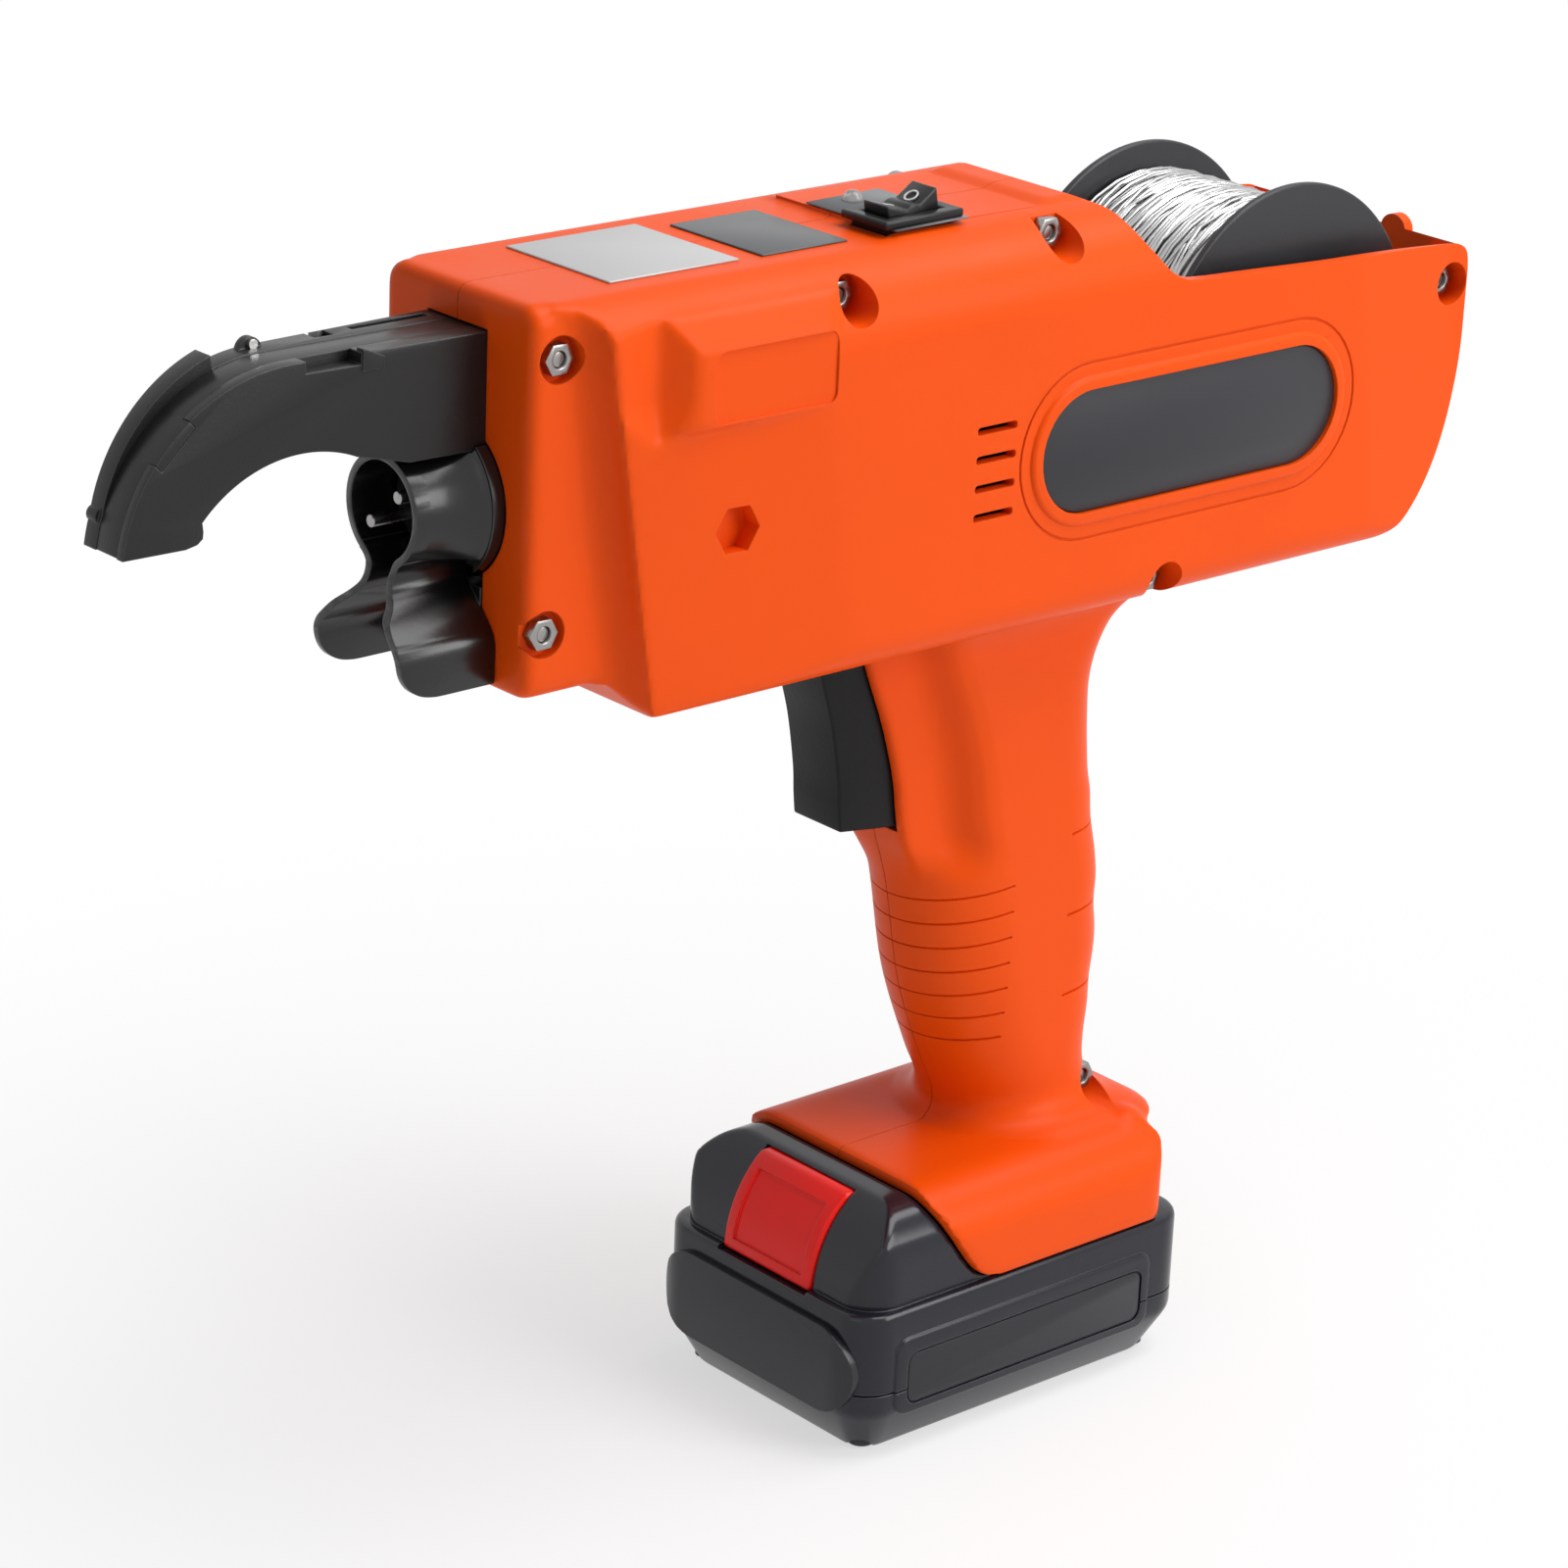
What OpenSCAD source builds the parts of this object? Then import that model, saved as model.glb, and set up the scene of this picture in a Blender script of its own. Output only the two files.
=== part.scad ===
// Cordless rebar tying tool: curl guide jaw, wire twister, wire feed, reel and slide-on battery.
// Millimetres. +X to the jaw, +Y to the tool's left, +Z up; origin under the battery's middle.

/* [Housing] */
// Drop of the twist axis below the deck
twist_drop = 38.6; // [38.4:0.1:39]
// Front face of the nose
nose_x = 125; // [123:0.5:127]
// Length of the narrow nose along its underside
nose_len = 19; // [17:0.5:20]
// Half width of the nose
nose_half_w = 21.5; // [20:0.25:22]
// Height of the nose
nose_h = 71; // [71:0.25:72]
// Length over which the nose flares out to the body
flare_len = 6; // [5:0.5:8]
// Lean of the flare in degrees
flare_lean = 9; // [8:0.5:10]
// Radius of the nose's long edges
nose_r = 4; // [3:0.25:5]
// Half width of the body
body_half_w = 31; // [30.5:0.25:33]
// How far the body draws in at its flare, each side
front_in = 2.9; // [2.4:0.1:3.2]
// Height of the flat front deck above the floor
deck_z = 245; // [244.5:0.25:247]
// Step across the deck in front of the switch
step_x = 46.5; // [45:0.5:48]
// Height of that step
step_h = 0.8; // [0.5:0.1:1.2]
// Ridge behind the switch
ridge_x = 2; // [0:0.5:4]
// Rise of the ridge above the deck
ridge_rise = 1.4; // [1:0.1:3]
// Front end of the reel bay's rim
rim_x = -27; // [-28:0.5:-26.5]
// Drop of the reel bay's rim below the deck
rim_drop = 18; // [15:0.5:21]
// Rear end of the body
rear_x = -108; // [-110:0.5:-107]
// Height of the body from belly to deck
body_h = 78; // [77:0.25:78.5]
// Wall of the moulded shells
wall = 2.5; // [2:0.1:2.8]
// Radius of the body's shoulders
shoulder_r = 16; // [14:0.5:17]
// Radius of the body's lower edges
belly_r = 6; // [5:0.5:8]
// Length of the rounded tail
tail_w = 26; // [20:1:28]
// Height of the rounded tail
tail_h = 42; // [36:1:46]

/* [Grip and foot] */
// Half width of the grip
grip_half_w = 16; // [15:0.25:17]
// Corner radius of the grip's rear
grip_r = 11; // [9:0.5:12]
// Corner radius of the grip's front
grip_front_r = 14.5; // [12:0.5:15]
// Front of the grip at the foot
grip_front_x = -1; // [-2:0.5:1]
// Lean of the grip's front in degrees
grip_front_lean = 16; // [14:0.5:17]
// Rear of the grip at the foot
grip_rear_x = -34.8; // [-36:0.2:-34]
// Lean of the grip's rear in degrees
grip_rear_lean = 4; // [3:0.5:5]
// Half width of the lip behind the trigger
lip_half_w = 9.2; // [8.8:0.1:10]
// Length of that lip
lip_len = 11.5; // [11:0.5:13]
// Radius under the tail behind the grip
web_r = 24; // [20:1:26]
// Top of the foot
foot_top_z = 52.7; // [52:0.1:54]
// Front edge of the foot's top
foot_front_x = 25; // [23:0.5:26]
// Rear of the foot
foot_rear_x = -38; // [-39:0.5:-37.5]
// Half width of the foot and the battery
foot_half_w = 31.5; // [31:0.25:33]
// Radius of the foot's long top edges
foot_r = 12; // [10:0.5:13]
// Underside of the foot's skirt
foot_low_z = 32; // [31.5:0.1:33]
// Front end of the skirt's lower edge
foot_low_x = 11; // [9:0.5:13]

/* [Jaw] */
// Drop of the curl guide arm's top below the deck
arm_drop = 6.7; // [6:0.1:8]
// Rise of the arm's underside above the twist axis
arm_low_rise = 10.7; // [10.6:0.1:11.6]
// Middle of the arm's outer curve
arm_out_x = 165; // [160:0.5:170]
// Outer radius of the arm's curve
arm_out_r = 34.3; // [33:0.1:36]
// Middle of the arm's inner curve
arm_in_x = 163; // [160:0.5:165]
// Inner radius of the arm's curve
arm_in_r = 27.2; // [26:0.1:28]
// Rise of the arm's inner curve above the twist axis
arm_in_rise = 15.8; // [14.6:0.1:16.6]
// Rise of the arm's tip above the twist axis
arm_tip_rise = 2.6; // [1.6:0.1:4.6]
// Half width of the arm at the nose
arm_root_w = 8.6; // [8:0.1:9]
// Half width of the arm at its tip
arm_tip_w = 5.8; // [5:0.1:6.5]
// Reach of the channel liner to the right
liner_w = 2.2; // [1.8:0.1:2.6]
// Reach of the channel liner to the left
core_w = 4; // [3.6:0.1:4.4]
// Outer radius of the wire cup
cup_r = 10.4; // [10:0.1:10.5]
// Wall of the wire cup
cup_wall = 1.4; // [1.2:0.1:1.8]
// Front rim of the cup
cup_x = 141; // [139:0.5:143]
// How far the toes of the mouth stand ahead of the cup
toe_len = 5.2; // [4:0.1:8]
// Drop of the mouth's lower edge below the twist axis
mouth_drop = 31.5; // [30.5:0.1:32]
// Half spread of the mouth's legs
mouth_spread = 12.9; // [12:0.1:14]

/* [Twister] */
// Radius of the twist head
head_r = 8; // [7.6:0.05:8.1]
// Length of the twist head
head_len = 9; // [8:0.5:10]
// Radius of the twist shaft
shaft_r = 3.96; // [3.94:0.01:3.98]
// Bore radius of the ball bearings
bearing_bore_r = 4; // [4:0.01:4.03]
// Outer radius of the ball bearings
bearing_r = 11; // [10.5:0.1:11]
// Width of the ball bearings
bearing_w = 7; // [6:0.5:7]
// Gear module of the planetary stage
gear_module = 1; // [0.98:0.01:1.02]
// Width of the planet gears
planet_w = 7.5; // [6:0.5:7.5]
// Outer radius of the ring gear case
ring_case_r = 21; // [20.5:0.1:21.5]
// Radius of the twist motor
motor_r = 18; // [17:0.25:19]
// Length of the twist motor
motor_len = 58; // [52:1:62]

/* [Wire feed] */
// Drop of the wire path below the deck
wire_drop = 14; // [13.6:0.1:14.1]
// Radius of the feed motor
feed_motor_r = 9; // [8.5:0.25:9.25]
// Length of the feed motor
feed_motor_len = 26; // [22:1:28]
// Thickness of the feed frame
frame_t = 3; // [2.6:0.1:3]
// Height of the feed gears
feed_gear_h = 10; // [9:0.5:10]

/* [Controls] */
// Half width of the trigger
trigger_half_w = 6.9; // [6.5:0.1:7.2]
// Travel of the trigger
trigger_travel = 5; // [4:0.5:6]
// Length of the rocker bezel
rocker_len = 19.3; // [18:0.1:20]
// Width of the rocker bezel
rocker_w = 12.6; // [12:0.1:13]
// Tilt of the rocker in degrees
rocker_tilt = 9; // [6:1:10]

/* [Reel] */
// Radius of the reel's flanges
reel_r = 34.5; // [33:0.25:35]
// Half width over the reel's flanges
reel_half_w = 21.6; // [20:0.2:23]
// Thickness of a flange
flange_t = 1.6; // [1.2:0.1:2]
// Radius of the reel's hub
hub_r = 11; // [9:0.5:13]
// Bore radius of the reel
reel_bore_r = 4; // [4:0.01:4.03]
// Radius of the reel shaft
reel_shaft_r = 3.95; // [3.93:0.01:3.97]
// Outer radius of the wire coil
coil_r = 28.5; // [24:0.5:31]
// Reel axis along the body
reel_x = -63.8; // [-64.5:0.1:-63.4]
// Drop of the reel axis below the rim
reel_drop = 19; // [17:0.25:20]

/* [Battery] */
// Length of the battery
batt_len = 90; // [88:0.5:94]
// Height of the split between the battery's cases
split_z = 14.4; // [13:0.1:16]
// Radius of the battery's upright corners
batt_r = 6; // [5:0.5:8]
// Room between the cells and the battery's side walls
cell_room = 1.1; // [0.9:0.1:1.6]
// Room at each end of the cells, wall included
cell_end = 12.5; // [12:0.25:13]
// Half width of the release button
button_half_w = 13.1; // [12:0.1:14]
// Travel of the release button
button_travel = 2.5; // [2:0.1:3]

/* [Fasteners] */
// Radius of the housing bolts
bolt_r = 1.5; // [1.3:0.05:1.6]
// Width across the flats of the nuts
nut_af = 5.5; // [5:0.1:6]
// Height of the nuts
nut_h = 2.4; // [2:0.1:2.6]

/* [Hidden] */
$fn = 48;

// Colours
orange = [0.90, 0.27, 0.07];
black = [0.12, 0.12, 0.13];
charcoal = [0.20, 0.21, 0.24];
steel = [0.75, 0.75, 0.76];
silver = [0.80, 0.80, 0.80];
red = [0.85, 0.10, 0.07];
green = [0.10, 0.40, 0.20];
brass = [0.80, 0.65, 0.30];
film_grey = [0.45, 0.47, 0.50];

// Overrun of cuts, reach of half spaces, and clearances
over = 1;
reach = 400;
gap = 0.3;
snug = 0.05;
touch = 0.15;
arc_steps = 8;

// Heights, taken down from the deck
belly_z = deck_z - body_h;
nose_low_z = deck_z - nose_h;
twist_z = deck_z - twist_drop;
ridge_z = deck_z + ridge_rise;
rim_z = deck_z - rim_drop;
reel_z = rim_z - reel_drop;
wire_z = deck_z - wire_drop;
arm_top_z = deck_z - arm_drop;
arm_low_z = twist_z + arm_low_rise;
arm_in_top_z = twist_z + arm_in_rise;
arm_tip_z = twist_z + arm_tip_rise;

// Body outline
nose_back_x = nose_x - nose_len;
flare_x = nose_back_x - flare_len;
shoulder_z = deck_z - shoulder_r;
rear_lift = (ridge_z - deck_z) / 2;
tail_x = rear_x + tail_w;
tail_z = belly_z + tail_h;
tail_taper_share = 0.07;
taper_x = 55;
front_half_w = body_half_w - front_in;
slope_run = 20;
bay_gap = 2.7;
partition_x = reel_x + reel_r + bay_gap;

// Raised feed block on the flanks
block_x0 = 60;
block_x1 = 94.7;
ramp_x = 104;
block_low_drop = 24.5;
block_z0 = deck_z - block_low_drop;
block_out = 0.2;
block_top_drop = 2;
label_inset = 2.8;
label_r = 2.1;
label_rise = 0.6;
label_depth = 0.6;
label_h = 13.4;
label_len = 28.7;

// Name plate
plate_len = 80;
plate_h = 24.4;
plate_x = -29;
plate_drop = 43.7;
plate_z = deck_z - plate_drop;
plate_t = 1.2;
rim_w = 3;
rim_t = 0.8;

// Vents, hex recess, tabs on the tail's rim
vent_x = 17.5;
vent_len = 10;
vent_h = 1.6;
vent_pitch = 5.6;
vent_drop = 53;
vent_z = deck_z - vent_drop;
vent_n = 4;
hex_af = 8.5;
hex_x = 84;
hex_drop = 44.5;
hex_z = deck_z - hex_drop;
hex_deep = 3.8;
tab_y = 4;
tab_w = 7;
tab_h = 2.2;

// Jaw opening in the nose
flange_r = 14.6;
flange_back = 12;
flange_ear = 2.5;
arm_back_x = nose_x - flange_back;
flange_tube = bearing_w;
cup_back_x = arm_back_x + flange_tube + gap;
jaw_low_z = twist_z - mouth_drop - gap;

// Twist drive along the axis
head_x = cup_back_x + flange_ear;
head_pin_r = 1.2;
head_pin_orbit = 5;
head_pin_len = 8.8;
head_pin_angle = 39;
sun_n = 12;
planet_n = 12;
ring_n = 36;
orbit_r = gear_module * (sun_n + planet_n) / 2;
gear_mesh_share = 0.78;
planet_pin_r = 2;
carrier_t = 4;
carrier_r = 15.5;
planet_x = 58;
carrier_x = planet_x + planet_w + 2 * gap;
ring_back_x = 50;
ring_plate_t = 4;
ring_front_x = carrier_x + carrier_t + ring_plate_t / 2;
ring_hole_r = 7;
motor_shaft_r = 1.6;
motor_shaft_grip = 10;
rear_bearing_x = ring_front_x + 3 * gap;
motor_boss_r = 6;
motor_boss_len = 3;

// Ribs of the housing: place, thickness, bore, half height
rib_t = 3;
ribs = [
    [ring_back_x - motor_len + 2 * rib_t, rib_t, motor_r, motor_r + rib_t],
    [ring_back_x - 3 * rib_t, rib_t, motor_r, motor_r + rib_t],
    [planet_x, 2 * rib_t, ring_case_r, ring_case_r + rib_t / 2],
    [rear_bearing_x, rib_t, bearing_r, bearing_r + gap],
    [arm_back_x + rib_t / 3, rib_t, flange_r + snug, flange_r + gap]
];

// Wire feed
frame_drop = 13.2;
frame_z = wire_z - frame_drop;
frame_x0 = rear_bearing_x;
frame_x1 = 112;
frame_half_w = 25.6;
frame_nose_w = 18;
feed_n = 18;
pinion_n = 10;
feed_r = 9;
feed_module = 2 * feed_r / feed_n;
pinion_r = feed_module * pinion_n / 2;
feed_x = 100;
feed_y = feed_r + snug;
pinion_y = 17.2;
pinion_x = feed_x - sqrt(pow(feed_r + pinion_r + 2 * snug, 2) - pow(pinion_y - feed_y, 2));
feed_axle_r = 2;
axle_collar_r = 3.2;
gear_z0 = wire_z - feed_gear_h / 2;
groove_d = 1.4;
lever_x = 78;
lever_w = 9;
lever_t = 2.4;
lever_lift = 1;
post_t = 2.4;
post_half_w = 3.4;
tube_r = 1.6;
wire_bore_r = 0.8;
tube_x0 = -12;
tube_stop = 2;
tube_x1 = feed_x - feed_r - tube_stop;
spring_wire_r = 0.35;
lever_spring_r = 1.6;
spring_tab_t = 1.6;
ledge_t = 2.5;
ledge_in = 1.5;

// Controls
trigger_sweep = 8;
trigger_h = 44.7;
trigger_low_z = belly_z - trigger_h;
trigger_top_z = belly_z + wall + over;
trigger_in = 19.775;
trigger_len = 23;
trigger_back_x = grip_front_x + (belly_z - foot_top_z) * tan(grip_front_lean) - trigger_in;
trigger_front_x = trigger_back_x + trigger_len;
trigger_bow = 1.6;
trigger_mid_share = 0.62;
trigger_gap = 0.4;
trigger_spring_len = 8;
switch_len = 14;
switch_x1 = trigger_back_x - trigger_spring_len;
switch_half_w = 6;
switch_lift = 6.5;
switch_z0 = trigger_low_z + switch_lift;
switch_h = 22;
plunger_r = 1.5;
trigger_spring_r = 2.9;
board_x0 = -16;
board_len = 54;
board_half_w = 21;
board_rise = 9;
board_z = belly_z + board_rise;
board_t = 1.6;
rocker_x = 31;
rocker_y = 11.3;
bezel_t = 1.6;
rocker_wall = 1.3;
rocker_depth = 12;
rocker_h = 3;
deck_tilt = atan((ridge_z - deck_z - step_h) / (step_x - ridge_x));
pad_rise = 0.3;
rocker_deck_z = deck_z + step_h + (step_x - rocker_x) * tan(deck_tilt) + pad_rise;
film_t = 0.3;
film_x0 = 20.6;
film_x1 = 42.2;
film_y0 = -7;
film_y1 = 18.3;
pad_t = 2;
lamp_r = 2;
lamp_x = 30.5;
lamp_y = -3;

// Top plates
silver_x0 = 73.2;
silver_x1 = 103;
silver_half_w = 14.7;
dark_x0 = 47.6;
dark_x1 = 68;
dark_y0 = -11;
dark_y1 = 15;
top_plate_t = 0.4;

// Terminals
terminal_x0 = -24;
terminal_x1 = 2;
terminal_half_w = 14;
terminal_h = 5.6;
blade_t = 0.8;
blade_y = 8;
blade_len = 16;
blade_drop = 7;

// Battery
batt_top_z = foot_low_z - gap;
case_wall = 2.5;
rail_neck_in = 6.7;
rail_in = 3.9;
rail_neck_w = foot_half_w - rail_neck_in;
rail_w = foot_half_w - rail_in;
rail_z = 37.7;
rail_top_z = 43;
rail_back_gap = 2.5;
rail_back_x = foot_rear_x + wall + rail_back_gap;
ledge_gap = 0.5;
dome_gap = 0.4;
dome_back_1 = 13.2;
dome_x1 = batt_len / 2 - dome_back_1;
dome_z1 = 50.3;
dome_back_2 = 7;
dome_x2 = batt_len / 2 - dome_back_2;
dome_z2 = 43;
dome_back_3 = 2.4;
dome_x3 = batt_len / 2 - dome_back_3;
button_low_z = 32.5;
button_t = 5;
button_proud = 0.9;
button_gap = 0.3;
batt_chamfer_z = 9;
batt_chamfer_w = 4.5;
front_plate_in = 3.5;
front_plate_w = foot_half_w - front_plate_in;
front_plate_z0 = 9;
front_plate_z1 = 27.5;
front_plate_t = 1.5;
side_plate_back = 8;
side_plate_front = 15.5;
side_plate_x0 = side_plate_back - batt_len / 2;
side_plate_x1 = batt_len / 2 - side_plate_front;
side_plate_z0 = 9.2;
side_plate_z1 = 20.6;
side_plate_t = 0.8;
side_plate_r = 2.5;
cell_n = 3;
cell_r = (foot_half_w - case_wall - cell_room - gap) / cell_n;
cell_len = batt_len - 2 * cell_end;
cell_pitch = 2 * cell_r + gap;
cell_z = case_wall + cell_r;
screw_end = 7.7;
screw_side = 7.9;
screw_x = batt_len / 2 - screw_end;
screw_y = foot_half_w - screw_side;
screw_r = 1.25;
screw_head_r = 2.6;
screw_head_h = 1.8;
screw_sink = 0.8;
screw_boss_r = 3.4;
screw_len = 22;
spring_turns = 5;
button_spring_r = 3;
button_spring_len = 7;
button_seat = 2;
button_mid_z = 39;
button_share = (button_mid_z - button_low_z) / (dome_z2 - button_low_z);
button_seat_x = dome_x3 + (dome_x2 - dome_x3) * button_share - button_t + button_seat;

// Bolt places: along, height, outer seat, inner start of the boss
seat_deep = 2.5;
nose_bolt_back = 6;
nose_bolt_drop = 9.7;
jaw_bolt_back = 4;
jaw_bolt_rise = 11.5;
deck_bolt_x = 56.5;
deck_bolt_drop = 7;
deck_seat_y = 21;
ridge_bolt_x = 3;
ridge_bolt_drop = 3;
ridge_seat_y = 19.5;
tail_bolt_in = 4.6;
tail_bolt_drop = 8.5;
belly_bolt_rise = 3.4;
side_seat_y = 23.5;
foot_bolt_in = 4.3;
foot_bolt_rise = 5.3;
foot_seat_y = 9.5;
bolts = [
    [nose_x - nose_bolt_back, deck_z - nose_bolt_drop, nose_half_w - seat_deep, arm_root_w],
    [nose_x - jaw_bolt_back, nose_low_z + jaw_bolt_rise, nose_half_w - seat_deep, arm_root_w],
    [deck_bolt_x, deck_z - deck_bolt_drop, deck_seat_y, 0],
    [ridge_bolt_x, deck_z - ridge_bolt_drop, ridge_seat_y, 0],
    [rear_x + tail_bolt_in, rim_z - tail_bolt_drop, side_seat_y, 0],
    [partition_x + wall / 2, belly_z + belly_bolt_rise, side_seat_y, 0],
    [grip_rear_x + foot_bolt_in, foot_top_z + foot_bolt_rise, foot_seat_y, 0]
];
boss_r = 3.6;
bolt_hole_r = bolt_r + touch;
pocket_r = 4.4;
pocket_wall = 1.2;
head_r_bolt = 2.8;
head_h_bolt = 2.4;
bolt_sink = 0.6;

// Guide pins of the arm: along, height
guide_pin_r = 1.5;
root_pin_ahead = 6;
root_pin_drop = 4.5;
bend_pin_ahead = 2;
bend_pin_drop = 3;
tip_pin_angle = 26;
tip_pin_r = arm_out_r - 2 * guide_pin_r;
pin_cover = 1.2;
pin_half = arm_tip_w - pin_cover;
guide_pins_at = [
    [cup_x + root_pin_ahead, arm_top_z - root_pin_drop],
    [arm_out_x + bend_pin_ahead, arm_top_z - bend_pin_drop],
    [arm_out_x + tip_pin_r * cos(tip_pin_angle), arm_top_z - arm_out_r + tip_pin_r * sin(tip_pin_angle)]
];

// Shape helpers

// Points of an arc from angle a0 to a1
function arc(cx, cy, rx, ry, a0, a1) =
    [for (i = [0:arc_steps]) let (a = a0 + (a1 - a0) * i / arc_steps) [cx + rx * cos(a), cy + ry * sin(a)]];

// Extrudes a Y-Z outline along X from x0 to x1
module along_x(x0, x1) {
    translate([x0, 0, 0]) rotate([90, 0, 90]) linear_extrude(x1 - x0) children();
}

// Extrudes an X-Z outline along Y from y0 to y1
module along_y(y0, y1) {
    translate([0, y1, 0]) rotate([90, 0, 0]) linear_extrude(y1 - y0) children();
}

// Extrudes an X-Y outline along Z from z0 to z1
module along_z(z0, z1) {
    translate([0, 0, z0]) linear_extrude(z1 - z0) children();
}

// Box between two corners
module box(low, high) {
    translate(low) cube(high - low);
}

// Round bars along each axis
module bar_x(x0, x1, y, z, r) {
    translate([x0, y, z]) rotate([0, 90, 0]) cylinder(h = x1 - x0, r = r);
}
module bar_y(y0, y1, x, z, r) {
    translate([x, y0, z]) rotate([-90, 0, 0]) cylinder(h = y1 - y0, r = r);
}
module bar_z(z0, z1, x, y, r) {
    translate([x, y, z0]) cylinder(h = z1 - z0, r = r);
}

// Rectangle with rounded corners from (x0, y0) to (x1, y1)
module soft_rect(x0, y0, x1, y1, r) {
    translate([x0 + r, y0]) square([x1 - x0 - 2 * r, y1 - y0]);
    translate([x0, y0 + r]) square([x1 - x0, y1 - y0 - 2 * r]);
    for (x = [x0 + r, x1 - r]) for (y = [y0 + r, y1 - r]) translate([x, y]) circle(r);
}

// Stadium of a length and height about its middle
module stadium(len, h) {
    square([len - h, h], center = true);
    for (s = [-1, 1]) translate([s * (len - h) / 2, 0]) circle(h / 2);
}

// Spur gear outline with n straight-flanked teeth, one of them on the X axis
gear_tip_half_share = 0.30;
gear_root_half_share = 0.85;
module gear_outline(n, m) {
    rp = n * m / 2;
    tip = rp + m * gear_mesh_share;
    root = rp - m;
    polygon([for (i = [0:n - 1]) each [
        for (q = [[root, -gear_root_half_share], [tip, -gear_tip_half_share],
                  [tip, gear_tip_half_share], [root, gear_root_half_share]])
        let (a = 360 * i / n, w = q[1] * m)
        [q[0] * cos(a) - w * sin(a), q[0] * sin(a) + w * cos(a)]
    ]]);
}

// Coil spring along X from 0 to len, as one swept tube
spring_sides = 6;
spring_steps = 14;
module coil_spring(len, r, wire_r) {
    n = spring_turns * spring_steps;
    climb = len - 2 * wire_r;
    points = [for (i = [0:n]) for (k = [0:spring_sides - 1])
        let (a = 360 * i / spring_steps, b = 360 * k / spring_sides, q = r + wire_r * cos(b))
        [wire_r + climb * i / n + wire_r * sin(b), q * cos(a), q * sin(a)]];
    sides = [for (i = [0:n - 1]) for (k = [0:spring_sides - 1])
        let (a = i * spring_sides + k, b = i * spring_sides + (k + 1) % spring_sides)
        [a, b, b + spring_sides, a + spring_sides]];
    start_cap = [for (k = [spring_sides - 1:-1:0]) k];
    end_cap = [for (k = [0:spring_sides - 1]) n * spring_sides + k];
    polyhedron(points, concat(sides, [start_cap, end_cap]));
}

// Body of the housing

// Side outline of the body, drawn in by i
module body_side(i) {
    polygon(concat(
        [[nose_x - i, nose_low_z + i], [nose_x - i, deck_z - i], [step_x - i, deck_z - i],
         [step_x - i, deck_z + step_h - i], [ridge_x, ridge_z - i],
         [rim_x + slope_run, deck_z - i], [rim_x, rim_z - i], [rear_x + i, rim_z - i]],
        arc(tail_x, tail_z, tail_w - i, tail_h - i, 180, 270),
        [[flare_x, belly_z + i], [nose_back_x, nose_low_z + i]]
    ));
}

// Plan outline of the left half behind the nose, drawn in by i
module body_plan(i) {
    polygon(concat(
        [[nose_back_x - i, 0], [nose_back_x - i, nose_half_w - i]],
        arc(nose_back_x - i, front_half_w - i, flare_len, front_half_w - nose_half_w, 270, 180),
        [[taper_x, body_half_w - i], [tail_x, body_half_w - i],
         [rear_x + i, body_half_w * (1 - tail_taper_share) - i],
         [-reach, body_half_w * (1 - tail_taper_share) - i], [-reach, 0]]
    ));
}

// Cross outline of the left half, drawn in by i and raised by lift at the shoulder
module body_cross(i, lift) {
    w = body_half_w - i;
    top = shoulder_z + lift;
    translate([0, belly_z + i]) square([w - belly_r + i, belly_r]);
    translate([0, belly_z + belly_r]) square([w, top - belly_z - belly_r]);
    translate([body_half_w - belly_r, belly_z + belly_r]) circle(belly_r - i);
    translate([0, top]) square([body_half_w - shoulder_r, reach]);
    translate([body_half_w - shoulder_r, top]) circle(shoulder_r - i);
}

// Plan of the body stood up with the lean of its flare, drawn in by i
module body_walls(i) {
    translate([0, 0, belly_z]) rotate([0, flare_lean, 0]) along_z(-reach, reach) body_plan(i);
}

// Left half of the body as a solid, drawn in by i
module body_solid(i) {
    intersection() {
        along_y(0, reach) body_side(i);
        union() {
            along_x(step_x, nose_x)
                soft_rect(-nose_half_w + i, nose_low_z + i, nose_half_w - i, deck_z - i, nose_r - i);
            intersection() {
                body_walls(i);
                union() {
                    along_x(step_x - i, reach) body_cross(i, 0);
                    along_x(-reach, step_x - i) body_cross(i, rear_lift);
                }
            }
        }
        box([-reach, 0, 0], [reach, reach, reach]);
    }
}

// Reel bay, open at the top
module bay_space() {
    intersection() {
        along_y(0, reach) polygon(concat(
            [[partition_x, belly_z + wall], [partition_x, reach], [rear_x + wall, reach]],
            arc(tail_x, tail_z, tail_w - wall, tail_h - wall, 180, 270)
        ));
        body_walls(wall);
        along_x(-reach, reach) {
            translate([0, belly_z + belly_r]) square([body_half_w - wall, reach]);
            translate([0, belly_z + wall]) square([body_half_w - belly_r, belly_r]);
            translate([body_half_w - belly_r, belly_z + belly_r]) circle(belly_r - wall);
        }
    }
}

// Raised block over the wire feed, drawn in by i
module feed_block(i) {
    r = shoulder_r / 4;
    face = body_half_w + block_out - i;
    intersection() {
        along_z(block_z0 + i, deck_z - block_top_drop - i) polygon([
            [block_x0 + i, 0], [block_x0 + i, face - r], [block_x0 + i + r, face],
            [block_x1 - i, face], [ramp_x - i, front_half_w - i], [ramp_x - i, 0]
        ]);
        along_x(-reach, reach) polygon([
            [0, 0], [face, 0], [face, deck_z - block_top_drop - i - 2 * r],
            [face - r, deck_z - block_top_drop - i - r / 2],
            [body_half_w - shoulder_r / 2 - i, deck_z - block_top_drop - i], [0, deck_z]
        ]);
    }
}

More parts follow.
